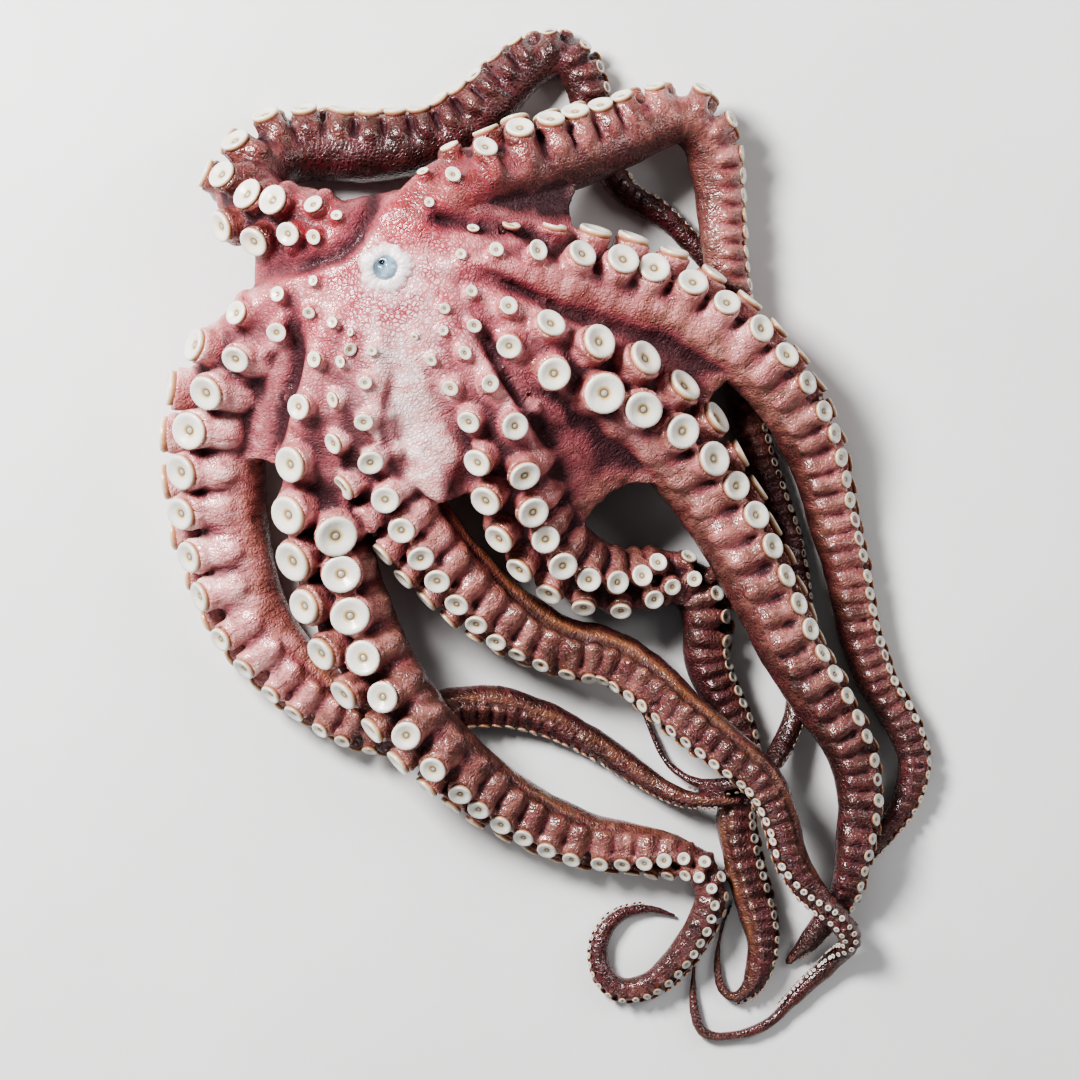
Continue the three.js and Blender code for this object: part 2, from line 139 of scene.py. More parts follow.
# Each arm's route from the mouth: [x, y, height, flesh radius, roll] in millimetres and degrees. Roll 0 turns
# the suckers up, +90 to the right of travel. "sucker" is a full-grown sucker's radius in flesh radii, "grow"
# how far from the mouth they are full-grown, and "tone" how dark the skin is, from 0, white, to 1, brown.
ARMS = {
    "upper_left": {
        "sucker": 0.45,
        "grow": 38,
        "first": 12.0,
        "sparse": 0.3,
        "shade": [(0, 0.40)],
        "flush": (0.95, 130),
        "rib": 0.46,
        "rib_angle": (46, 54),
        "tone": [(0, 0.22), (14, 0.60), (60, 0.66), (85, 0.78), (120, 0.84), (200, 0.84), (380, 0.9)],
        "route": [
            [-9, 8, 65, 9, 0], [-20, 15, 61, 12, 0], [-32, 19, 55, 14, 0],
            [-45, 21, 45, 14.5, -15], [-55, 31, 33, 14, -50], [-49, 44, 20, 13.5, -88],
            [-33, 50, 12, 12.8, -98], [-7, 49, 11.6, 12.4, -100], [17, 53, 10.8, 11.5, -98],
            [35, 63, 10.3, 11, -95], [49, 77, 9.3, 10, -95], [61, 86, 8.4, 9, -95],
            [72, 86, 7.6, 8.2, -85], [79, 74, 7.6, 7.5, -90], [83, 53, 6.4, 6.4, -90],
            [94, 34, 5, 4.8, -95], [109, 24, 4.6, 4.4, -92], [121, 13, 4, 3.8, -92],
            [130, 1, 3.4, 3.2, -85], [136, -13, 2.8, 2.6, -90], [141, -27, 1.9, 1.8, -90],
            [146, -39, 1.2, 1, -90],
        ],
    },
    "top": {
        "sucker": 0.43,
        "grow": 72,
        "shade": [(130, 0.40), (180, 0.20)],
        "flush": (0.95, 130),
        "rib": 0.46,
        "rib_angle": (46, 54),
        "tone": [
            (0, 0.26), (24, 0.58), (90, 0.60), (130, 0.54),
            (170, 0.44), (240, 0.62), (300, 0.78), (490, 0.9),
        ],
        "route": [
            [5, 10, 66, 9, -10], [15, 24, 63, 12, -25], [30, 33, 56, 14.5, -55],
            [51, 40, 46, 15, -74], [71, 46, 36, 14, -82], [91, 53, 28, 12.5, -88],
            [106, 60, 25, 11.5, -92], [119, 62, 21, 10.8, -95], [128, 53, 16, 10, -98],
            [131, 37, 13, 9, -100], [133, 17, 14, 8, -100], [136, -5, 14.2, 7.2, -98],
            [140, -31, 10, 6.8, -85], [144, -59, 7, 6.4, -80], [151, -83, 6.2, 6, -80],
            [160, -109, 5.4, 5.6, -85], [165, -139, 5.6, 5.2, -90], [165, -167, 5.2, 4.6, -95],
            [160, -186, 8, 4.2, -90], [151, -199, 16.6, 3.7, -90], [139, -205, 16.6, 3.4, -90],
            [124, -205, 9, 2.6, -90], [112, -197, 4, 2, -90], [105, -183, 2, 1.6, -90],
            [100, -170, 1.6, 0.9, -90],
        ],
    },
    "upper_right": {
        "sucker": 0.45,
        "grow": 86,
        "flank_end": [(90, 66), (200, 112)],
        "ridge": [(90, 0.55), (200, 1.0)],
        "tone": [(0, 0.06), (45, 0.30), (110, 0.38), (190, 0.50), (260, 0.64), (320, 0.76), (390, 0.88)],
        "route": [
            [10, 2, 67, 9, -15], [25, 4, 64, 12, -30], [45, 3, 58, 14, -45],
            [69, -2, 48, 15.5, -55], [93, -8, 38, 16, -60], [117, -16, 34, 15, -62],
            [139, -30, 31.5, 13.5, -65], [158, -50, 24, 12, -70], [170, -72, 14, 10.5, -75],
            [177, -97, 8.9, 9, -78], [183, -119, 7.7, 8.2, -80], [188, -143, 7.1, 7.6, -80],
            [196, -165, 6.6, 7, -80], [206, -182, 6, 6.4, -80], [211, -197, 5.4, 5.8, -85],
            [207, -213, 4.9, 5.2, -90], [198, -226, 4.8, 4.4, -95], [190, -236, 3.6, 3.2, -95],
            [184, -246, 2, 1.4, -95],
        ],
    },
    "right": {
        "sucker": 0.47,
        "grow": 86,
        "flank_end": [(90, 66), (200, 112)],
        "ridge": [(90, 0.55), (200, 1.0)],
        "tone": [(0, 0.04), (45, 0.25), (100, 0.41), (170, 0.54), (215, 0.65), (270, 0.76), (390, 0.92)],
        "seam": [(340, 0), (370, 0.7), (430, 0.7)],
        "route": [
            [8, -4, 67, 9, 0], [25, -11, 64, 12, 0], [47, -23, 58, 15, -5],
            [69, -36, 52, 17, -10], [91, -49, 43, 17.5, -25], [111, -67, 34, 16.5, -45],
            [126, -87, 27, 15, -60], [139, -109, 25, 13.5, -70], [152, -135, 25, 12, -75],
            [163, -157, 24, 11, -78], [175, -176, 20, 10, -80], [185, -194, 15.5, 8.8, -80],
            [188, -211, 14, 8, -80], [187, -226, 14.6, 7.4, -75], [185, -240, 12, 6.4, -70],
            [182, -251, 7.4, 5.6, -85], [174, -262, 5.2, 4.6, -108], [167, -271, 3.4, 3.2, -112],
            [160, -279, 1.6, 1.2, -112],
        ],
    },
    "lower_right": {
        "sucker": 0.40,
        "grow": 96,
        "tone": [(0, 0.02), (50, 0.20), (100, 0.52), (190, 0.68), (270, 0.86), (420, 0.96)],
        "seam": [(235, 0), (265, 1), (400, 0.9)],
        "route": [
            [6, -8, 67, 9, 5], [17, -23, 64, 12, 10], [33, -42, 60, 15, 10],
            [45, -61, 54, 17, 12], [50, -79, 46, 17, 15], [56, -96, 37, 16, 22],
            [67, -110, 29, 15, 35], [81, -120, 22, 13.5, 30], [97, -124, 16, 12, 15],
            [112, -122, 12.5, 10.8, -10], [123, -127, 11, 9.8, -50], [127, -139, 10, 9, -75],
            [127, -155, 7.8, 8.2, -85], [133, -171, 6.9, 7.4, -85], [140, -186, 6.4, 6.8, -85],
            [142, -202, 6.2, 6.6, -85], [139, -219, 6.4, 7, -80], [142, -237, 6.6, 7.2, -75],
            [147, -255, 6.5, 6.9, -80], [150, -271, 6, 5.8, -85], [147, -285, 4.4, 4.2, -98],
            [140, -292, 2.9, 2.6, -104], [134, -288, 2.3, 2, -104], [132, -277, 2, 1.8, -90],
            [134, -264, 1.6, 1.4, -90], [138, -254, 1.1, 0.8, -90],
        ],
    },
    "lower": {
        "sucker": 0.40,
        "grow": 96,
        "tone": [(0, 0.0), (50, 0.14), (90, 0.32), (160, 0.63), (240, 0.74), (320, 0.88), (480, 0.96)],
        "seam": [(70, 0), (105, 1), (330, 1), (400, 0.5)],
        "route": [
            [-2, -9, 67, 9, 0], [-7, -27, 65, 12, 12], [-9, -49, 60, 14.5, 25],
            [-5, -71, 52, 15.5, 34], [6, -93, 43, 15, 42], [21, -112, 34, 14, 52],
            [37, -128, 26, 13, 65], [55, -141, 20, 11.5, 80], [73, -149, 18, 10.5, 88],
            [90, -153, 18, 10, 88], [105, -163, 21, 9.5, 85], [120, -177, 26.5, 9, 80],
            [137, -191, 30, 8.2, 80], [151, -204, 29.5, 7.2, 80], [158, -219, 25, 6.6, 75],
            [162, -234, 21, 6.2, 70], [170, -248, 17.5, 5.4, 45], [181, -260, 16.4, 4.6, 10],
            [186, -269, 11, 4.2, 20], [178, -278, 4, 3.5, 60], [166, -289, 3.1, 2.9, 70],
            [153, -302, 2.8, 2.5, 75], [139, -307, 2.5, 2.2, 80], [127, -306, 2.3, 2, 80],
            [123, -295, 2, 1.8, 80], [123, -281, 1.8, 1.6, 80], [126, -269, 1.2, 0.8, 80],
        ],
    },
    "lower_left": {
        "sucker": 0.52,
        "grow": 98,
        "tone": [
            (0, 0.04), (50, 0.22), (120, 0.45), (180, 0.60),
            (240, 0.68), (300, 0.60), (340, 0.76), (460, 0.9),
        ],
        "seam": [(215, 0), (250, 0.7), (330, 0.7), (380, 0)],
        "route": [
            [-6, -8, 66, 9, 0], [-16, -23, 64, 12, 0], [-23, -43, 58, 14.5, 5],
            [-26, -65, 50, 16, 10], [-25, -87, 41, 16.5, 15], [-22, -110, 34, 16.5, 20],
            [-16, -132, 31, 16, 25], [-6, -153, 31, 15, 35], [7, -172, 32, 13.5, 45],
            [21, -189, 28.5, 12.5, 55], [38, -204, 18, 11.5, 65], [57, -216, 11.8, 10.5, 75],
            [79, -226, 9, 9.6, 80], [99, -230, 8.3, 8.8, 65], [115, -234, 8.4, 7.8, 35],
            [126, -240, 9.4, 6.6, 0], [129, -250, 9.4, 5.8, -40], [125, -262, 8.5, 5.6, -55],
            [117, -275, 6.2, 5.4, -60], [106, -285, 4.8, 5, -70], [94, -288, 4.1, 4.4, -80],
            [86, -281, 3.9, 3.8, -85], [85, -270, 3.4, 3.4, -85], [91, -260, 2.8, 2.8, -85],
            [103, -256, 2, 2, -85], [116, -259, 1.3, 1, -85],
        ],
    },
    "left": {
        "sucker": 0.46,
        "grow": 86,
        "tone": [
            (0, 0.06), (45, 0.30), (80, 0.22), (130, 0.28),
            (190, 0.27), (225, 0.50), (260, 0.84), (410, 0.94),
        ],
        "seam": [(185, 0), (215, 1), (420, 1)],
        "route": [
            [-8, -3, 66, 9, 0], [-25, -9, 62, 12, 0], [-41, -18, 54, 15, 10],
            [-55, -31, 42, 17, 30], [-63, -48, 32, 17.5, 50], [-66, -67, 24, 17.5, 65],
            [-66, -87, 17.6, 17, 75], [-63, -107, 15, 16, 80], [-58, -129, 13.5, 14.5, 85],
            [-47, -148, 12.1, 13, 90], [-32, -164, 10.8, 11.5, 90], [-16, -176, 9.4, 10, 90],
            [-1, -182, 8.5, 9, 90], [15, -178, 7.7, 8.2, 98], [31, -173, 7.1, 7.6, 106],
            [49, -174, 6.4, 6.8, 110], [67, -180, 5.5, 5.8, 110], [85, -190, 4.9, 5, 110],
            [101, -201, 7, 4.2, 110], [117, -210, 11.5, 3.4, 110], [131, -212, 15, 2.6, 110],
            [142, -212, 15.6, 1.4, 90],
        ],
    },
}

# The web between two neighbouring arms: how far along each it reaches, how its free edge bows (under 1 is
# hollow), and how deep it hangs between the arms in millimetres.
WEBS = [
    ("upper_left", "top", 46, 44, 0.8, 5),
    ("top", "upper_right", 98, 94, 0.78, 4),
    ("upper_right", "right", 150, 136, 0.96, 6),
    ("right", "lower_right", 152, 138, 0.86, 3),
    ("lower_right", "lower", 86, 94, 1.03, 2),
    ("lower", "lower_left", 88, 94, 0.92, 3),
    ("lower_left", "left", 96, 116, 0.88, 3),
    ("left", "upper_left", 58, 52, 0.95, 4),
]

# The folds between the arms' bases: half-width and depth, then places from the mouth, in millimetres.
FOLDS = [
    (3.0, 3.8, [(-2, 36), (-5, 28), (-8, 20), (-12, 11), (-20, 5), (-34, 1), (-50, -1)]),
    (2.6, 3.2, [(-38, -2), (-37, -20), (-35, -32), (-37, -43), (-41, -54), (-44, -66), (-45, -80)]),
    (1.9, 3.4, [(30, 2), (44, -4), (52, -8), (68, -15), (82, -21), (100, -26), (114, -32), (126, -42)]),
    (2.3, 3.0, [(33, -14), (43, -34), (50, -47), (59, -60), (68, -74)]),
    (2.6, 3.4, [(12, 21), (22, 19), (36, 17), (54, 15), (74, 9)]),
    (1.6, 1.4, [(6, -32), (1, -50), (-1, -64), (3, -78), (15, -92)]),
    (1.6, 1.5, [(12, -32), (19, -50), (27, -62), (34, -74), (33, -88)]),
]

# Pools of painted shade on the skin: middle, reach along X and Y, and strength, below 0 where the painted
# shade is lightened.
SHADE_POOLS = [
    (-6, 35, 9, 7, 0.8), (-49, -4, 9, 6, 0.8), (-43, -70, 7, 20, 0.9), (-36, -42, 6, 17, 1.2),
    (36, 17, 24, 6, 0.6), (66, 24, 18, 9, 1.2), (27, -86, 5, 7, 1.0), (60, -70, 8, 12, 0.35),
    (52, -42, 9, 14, -0.6), (58, -13, 16, 7, -0.75), (84, -25, 18, 7, -0.75), (110, -38, 12, 7, -0.5),
    (-30, 7, 14, 5, 1.5), (-12, 19, 6, 9, 1.5),
]


# ---- Sizes and colours a user would change ------------------------------------------------------
class OctopusBody(bpy.types.PropertyGroup):
    voxel: FloatProperty(
        name="Flesh detail", description="Smallest fold the flesh keeps", default=0.0011, unit="LENGTH"
    )
    faces: IntProperty(name="Skin faces", description="Most triangles in the skin", default=186000)
    web: FloatProperty(
        name="Web thickness", description="Thickness of the skin between the arms", default=0.0076,
        unit="LENGTH",
    )
    lump: FloatProperty(
        name="Unevenness", description="How far the flesh strays from a true round", default=0.0011,
        unit="LENGTH",
    )


class OctopusSuckers(bpy.types.PropertyGroup):
    pitch: FloatProperty(
        name="Spacing", description="Sucker spacing along a row, in sucker widths", default=1.13
    )
    row_angle: FloatProperty(
        name="Row angle", description="Angle of each sucker row off the arm's middle",
        default=math.radians(25), subtype="ANGLE",
    )
    stand: FloatProperty(
        name="Stand-off", description="How far a cup stands off the arm, in sucker radii", default=0.8
    )
    smallest: FloatProperty(
        name="Smallest", description="Radius below which no sucker is made", default=0.0008, unit="LENGTH"
    )


def colour(name, description, value):
    return FloatVectorProperty(
        name=name, description=description, subtype="COLOR", size=3, min=0.0, max=1.0, default=value
    )


class OctopusColours(bpy.types.PropertyGroup):
    rose: colour("Rose", "Tint of the skin on the upper arms and webs", (0.76, 0.25, 0.31))
    # Flush: the colour of the painted shade in wrinkles and beside the folds.
    flush: colour("Flush", "Skin beside the folds", (0.30, 0.068, 0.088))
    # Fold skin: the colour of the painted shade deep in the folds.
    fold_shade: colour("Fold skin", "Skin deep in the folds", (0.038, 0.006, 0.011))
    net: colour("Net", "Fine net of colour on pale skin", (0.44, 0.075, 0.11))
    membrane: colour("Membrane", "Thin edge along the outer arms", (0.33, 0.14, 0.055))
    cup: colour("Cups", "Face of the suckers", (0.80, 0.75, 0.665))
    horn: colour("Horn", "The beak's blue-grey horn", (0.36, 0.50, 0.58))


# ---- The arms' lines ----------------------------------------------------------------------------
def rise(values, start, over):
    """0 up to start, 1 from there on by over."""
    return np.clip((values - start) / over, 0, 1)


def fade(values, start, over):
    """1 up to start, 0 from there on by over."""
    return np.clip(1 - (values - start) / over, 0, 1)


def bell(values, width):
    """1 at 0, falling away on both sides over width."""
    return np.exp(-((values / width) ** 2))


def spline(points, t):
    """Catmull-Rom through the rows of points, at parameters t from 0 to 1."""
    count = len(points)
    padded = np.vstack([2 * points[0] - points[1], points, 2 * points[-1] - points[-2]])
    place = np.clip(t, 0, 1) * (count - 1)
    i = np.minimum(place.astype(int), count - 2)
    w = (place - i)[:, None]
    p0, p1, p2, p3 = (padded[i + k] for k in range(4))
    v0 = 0.5 * (p2 - p0)
    v1 = 0.5 * (p3 - p1)
    return (
        (2 * p1 - 2 * p2 + v0 + v1) * w**3 + (-3 * p1 + 3 * p2 - 2 * v0 - v1) * w**2 + v0 * w + p1
    )


class Arm:
    """An arm's samples: centre, flesh radius, the ways along and across, and the way its suckers face."""

    def __init__(self, name):
        spec = {**ARM_DEFAULTS, **ARMS[name]}
        points = np.array(spec["route"], float)
        dense = spline(points, np.linspace(0, 1, SPLINE_STEPS * len(points)))
        step = np.linalg.norm(np.diff(dense[:, :3], axis=0), axis=1)
        run = np.concatenate([[0], np.cumsum(step)])
        self.length = run[-1]
        self.s = np.arange(0, self.length, SAMPLE)
        rows = np.array([np.interp(self.s, run, dense[:, k]) for k in range(5)]).T
        self.centre = rows[:, :3] * MM + np.array(MOUTH)
        self.radius = rows[:, 3] * MM
        self.roll = np.radians(rows[:, 4])
        self.along = np.gradient(self.centre, axis=0)
        self.along /= np.linalg.norm(self.along, axis=1)[:, None]
        right = np.stack([self.along[:, 1], -self.along[:, 0], 0 * self.s], 1)
        right /= np.linalg.norm(right, axis=1)[:, None]
        up = np.cross(right, self.along)
        c, s = np.cos(self.roll)[:, None], np.sin(self.roll)[:, None]
        self.facing = c * up + s * right
        self.across = c * right - s * up
        grown = rise(self.s, 0, spec["grow"])
        self.grown = grown * grown * (3 - 2 * grown)
        # Suckers start at a third of their full size, and stay small for the arm's girth further out.
        slender = 1 - 0.24 * rise(self.s, 130, 250)
        self.sucker = self.radius * spec["sucker"] * (0.34 + 0.66 * self.grown) * slender
        self.tone, self.seamed, self.shade, self.flank_end, self.ridge = (
            np.interp(self.s, *zip(*spec[key])) for key in ("tone", "seam", "shade", "flank_end", "ridge")
        )
        self.index = list(ARMS).index(name)
        self.owner = np.full(len(self.s), self.index)
        strength, reach = spec["flush"]
        self.flushed_and_shaded = strength * fade(self.s, 20, reach)
        self.first, self.sparse = spec["first"], spec["sparse"]
        self.rib, self.rib_angle = spec["rib"], spec["rib_angle"]

    def at(self, distance):
        return min(len(self.s) - 1, max(0, int(round(distance / SAMPLE))))

    def outward(self, i, angle):
        """The way out of sample i at an angle round the arm from the way its suckers face."""
        return Vector(self.facing[i]) * math.cos(angle) + Vector(self.across[i]) * math.sin(angle)


def all_arms():
    return {name: Arm(name) for name in ARMS}


def sucker_places(arms, suckers):
    """Every sucker as (arm, sample, side, radius): two rows on each arm, taking turns."""
    places = []
    for arm in arms.values():
        distance, side = arm.first, 1
        while distance < arm.length - BARE_TIP:
            i = arm.at(distance)
            radius = arm.sucker[i]
            if radius > suckers.smallest:
                places.append((arm, i, side, radius))
            loose = 1 + arm.sparse * (1 - arm.grown[i])
            distance += max(LEAST_STEP, suckers.pitch * loose * radius / MM)
            side = -side
    return uncrowded(places, suckers)


def uncrowded(places, suckers):
    """Leaves out a sucker that would stand in one of a neighbouring arm."""
    kept, centres, radii = [], [], []
    for place in places:
        centre, radius = np.array(sucker_frame(*place, suckers)[0]), place[3]
        if kept:
            gaps = np.linalg.norm(np.array(centres) - centre, axis=1) - CROWDED * (np.array(radii) + radius)
            others = np.array([other is not place[0] for other, *_ in kept])
            if (gaps[others] < 0).any():
                continue
        kept.append(place)
        centres.append(centre)
        radii.append(radius)
    return kept


def sucker_frame(arm, i, side, radius, suckers):
    """Centre of a cup, the way it faces, the way along the arm, and its own random numbers."""
    out = arm.outward(i, side * suckers.row_angle)
    along = Vector(arm.along[i])
    rng = random.Random(1000 * arm.index + i)
    facing = out + along * rng.uniform(-LEAN, LEAN) + along.cross(out) * rng.uniform(-LEAN, LEAN)
    stand = suckers.stand * (0.3 + 0.7 * arm.grown[i])
    reach = arm.radius[i] + stand * radius * rng.uniform(0.9, 1.1)
    centre = Vector(arm.centre[i]) + out * reach
    return centre, facing.normalized(), along, rng


def leaning(foot, top, facing, along, radius):
    """Matrix that stretches a unit stalk from foot to top, its end square to the way the cup faces."""
    x = along.cross(facing).normalized()
    y = facing.cross(x)
    turn = Matrix((x * radius, y * radius, top - foot)).transposed().to_4x4()
    return Matrix.Translation(foot) @ turn


def turned(centre, facing, along, scale):
    """Matrix that stands a unit shape on centre, its +Z the way it faces and its +Y along the arm."""
    x = along.cross(facing).normalized()
    y = facing.cross(x)
    turn = Matrix((x, y, facing)).transposed().to_4x4()
    return Matrix.Translation(centre) @ turn @ Matrix.Diagonal((*scale, 1.0))


# ---- Small helpers ------------------------------------------------------------------------------
def deselect():
    if bpy.context.object and bpy.context.object.mode != "OBJECT":
        bpy.ops.object.mode_set(mode="OBJECT")
    bpy.ops.object.select_all(action="DESELECT")


def pick(piece):
    deselect()
    bpy.context.view_layer.objects.active = piece
    piece.select_set(True)


def apply_modifier(piece, kind, **values):
    modifier = piece.modifiers.new(kind.title(), kind)
    for key, value in values.items():
        setattr(modifier, key, value)
    pick(piece)
    bpy.ops.object.modifier_apply(modifier=modifier.name)


def join(pieces, name):
    deselect()
    for piece in pieces:
        piece.select_set(True)
    bpy.context.view_layer.objects.active = pieces[0]
    bpy.ops.object.join()
    joined = bpy.context.object
    joined.name = joined.data.name = name
    return joined


def bake_place(piece):
    pick(piece)
    bpy.ops.object.transform_apply(location=True, rotation=True, scale=True)


def add_object(name, data):
    made = bpy.data.objects.new(name, data)
    bpy.context.scene.collection.objects.link(made)
    return made


def copies(model, matrices):
    """A copy of the model with a mesh of its own at each matrix."""
    made = []
    for matrix in matrices:
        copy = model.copy()
        copy.data = model.data.copy()
        copy.data.transform(matrix)
        bpy.context.scene.collection.objects.link(copy)
        made.append(copy)
    return made


def vertices_of(piece):
    co = np.empty(len(piece.data.vertices) * 3, np.float32)
    piece.data.vertices.foreach_get("co", co)
    return co.reshape(-1, 3).astype(float)


def move_vertices(piece, co):
    piece.data.vertices.foreach_set("co", co.astype(np.float32).ravel())


def keep_off_floor(piece):
    move_vertices(piece, np.maximum(vertices_of(piece), [-math.inf, -math.inf, FLOOR_CLEARANCE]))


def normals_of(piece):
    normals = np.empty(len(piece.data.vertices) * 3, np.float32)
    piece.data.vertex_normals.foreach_get("vector", normals)
    return normals.reshape(-1, 3)


def attribute(piece, name, values, kind="FLOAT"):
    made = piece.data.attributes.new(name, kind, "POINT")
    key = "vector" if kind == "FLOAT_VECTOR" else "value"
    made.data.foreach_set(key, np.asarray(values, np.float32).ravel())


def finish_piece(piece, name, node, material):
    """Names a finished piece, gives it its material, and says what it rides on and stands for."""
    pick(piece)
    bpy.ops.object.shade_smooth()
    piece.name = piece.data.name = name
    piece.data.materials.clear()
    piece.data.materials.append(material)
    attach(piece, "root")
    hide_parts(node)


# ---- Material building --------------------------------------------------------------------------
class Nodes:
    """A material's nodes, with short calls for them. Scales count per metre, distances are in metres."""

    def __init__(self, name):
        self.material = bpy.data.materials.new(name)
        self.material.use_nodes = True
        self.tree = self.material.node_tree
        self.shader = self.tree.nodes["Principled BSDF"]

    def add(self, kind, **values):
        node = self.tree.nodes.new(kind)
        for key, value in values.items():
            setattr(node, key, value)
        return node

    def link(self, source, target):
        self.tree.links.new(source, target)

    def set(self, socket, value):
        if isinstance(value, bpy.types.NodeSocket):
            self.link(value, socket)
        elif value is not None:
            socket.default_value = value

    def read(self, name, vector=False):
        node = self.add("ShaderNodeAttribute", attribute_name=name)
        return node.outputs["Vector" if vector else "Fac"]

    def place(self):
        return self.add("ShaderNodeTexCoord").outputs["Object"]

    def math(self, operation, a, b=None, c=None, clamp=False):
        node = self.add("ShaderNodeMath", operation=operation, use_clamp=clamp)
        for socket, value in zip(node.inputs, (a, b, c)):
            self.set(socket, value)
        return node.outputs[0]

    def centred(self, value, reach):
        """A value from 0 to 1 made one from -reach / 2 to reach / 2."""
        return self.math("MULTIPLY_ADD", value, reach, -reach / 2)

    def vector(self, operation, a, b):
        node = self.add("ShaderNodeVectorMath", operation=operation)
        self.set(node.inputs[0], a)
        self.set(node.inputs[1], b)
        return node.outputs[0]

    def noise(self, scale, detail=3.0, roughness=0.55, vector=None):
        node = self.add("ShaderNodeTexNoise")
        self.set(node.inputs["Vector"], vector or self.place())
        node.inputs["Scale"].default_value = scale
        node.inputs["Detail"].default_value = detail
        node.inputs["Roughness"].default_value = roughness
        return node.outputs[0]

    def cells(self, scale, feature="DISTANCE_TO_EDGE", vector=None):
        node = self.add("ShaderNodeTexVoronoi", feature=feature)
        self.set(node.inputs["Vector"], vector or self.place())
        node.inputs["Scale"].default_value = scale
        return node.outputs["Distance"]

    def span(self, value, low, high, to_low=0.0, to_high=1.0):
        node = self.add("ShaderNodeMapRange", interpolation_type="SMOOTHSTEP")
        for key, number in zip(
            ("Value", "From Min", "From Max", "To Min", "To Max"), (value, low, high, to_low, to_high)
        ):
            self.set(node.inputs[key], number)
        return node.outputs[0]

    def ramp(self, value, stops):
        node = self.add("ShaderNodeValToRGB")
        ends = node.color_ramp.elements
        for k, (place, colour) in enumerate(stops):
            stop = ends[k] if k < 2 else ends.new(place)
            stop.position = place
            stop.color = (*colour, 1.0)
        self.set(node.inputs["Fac"], value)
        return node.outputs["Color"]

    def mix(self, share, a, b, blend="MIX"):
        node = self.add("ShaderNodeMix", data_type="RGBA", blend_type=blend)
        self.set(node.inputs[0], share)
        self.set(node.inputs[6], (*a, 1.0) if isinstance(a, tuple) else a)
        self.set(node.inputs[7], (*b, 1.0) if isinstance(b, tuple) else b)
        return node.outputs[2]

    def surface(self, sockets):
        """Sets or links the shader's sockets by name."""
        for key, value in sockets.items():
            self.set(self.shader.inputs[key], value)
        return self.material

    def bump(self, height, distance, strength=1.0, below=None):
        node = self.add("ShaderNodeBump")
        node.inputs["Distance"].default_value = distance
        node.inputs["Strength"].default_value = strength
        self.set(node.inputs["Height"], height)
        if below is not None:
            self.link(below, node.inputs["Normal"])
        return node.outputs[0]


def srgb(red, green, blue):
    """The linear colour of one given from 0 to 255."""
    return tuple(((v / 255 + 0.055) / 1.055) ** 2.4 if v > 10 else v / 3294.6 for v in (red, green, blue))


SKIN_TONES = [
    (0.0, srgb(244, 230, 226)),
    (0.14, srgb(236, 194, 188)),
    (0.30, srgb(212, 152, 150)),
    (0.46, srgb(176, 122, 112)),
    (0.60, srgb(134, 94, 83)),
    (0.76, srgb(90, 60, 50)),
    (1.0, srgb(46, 29, 24)),
]


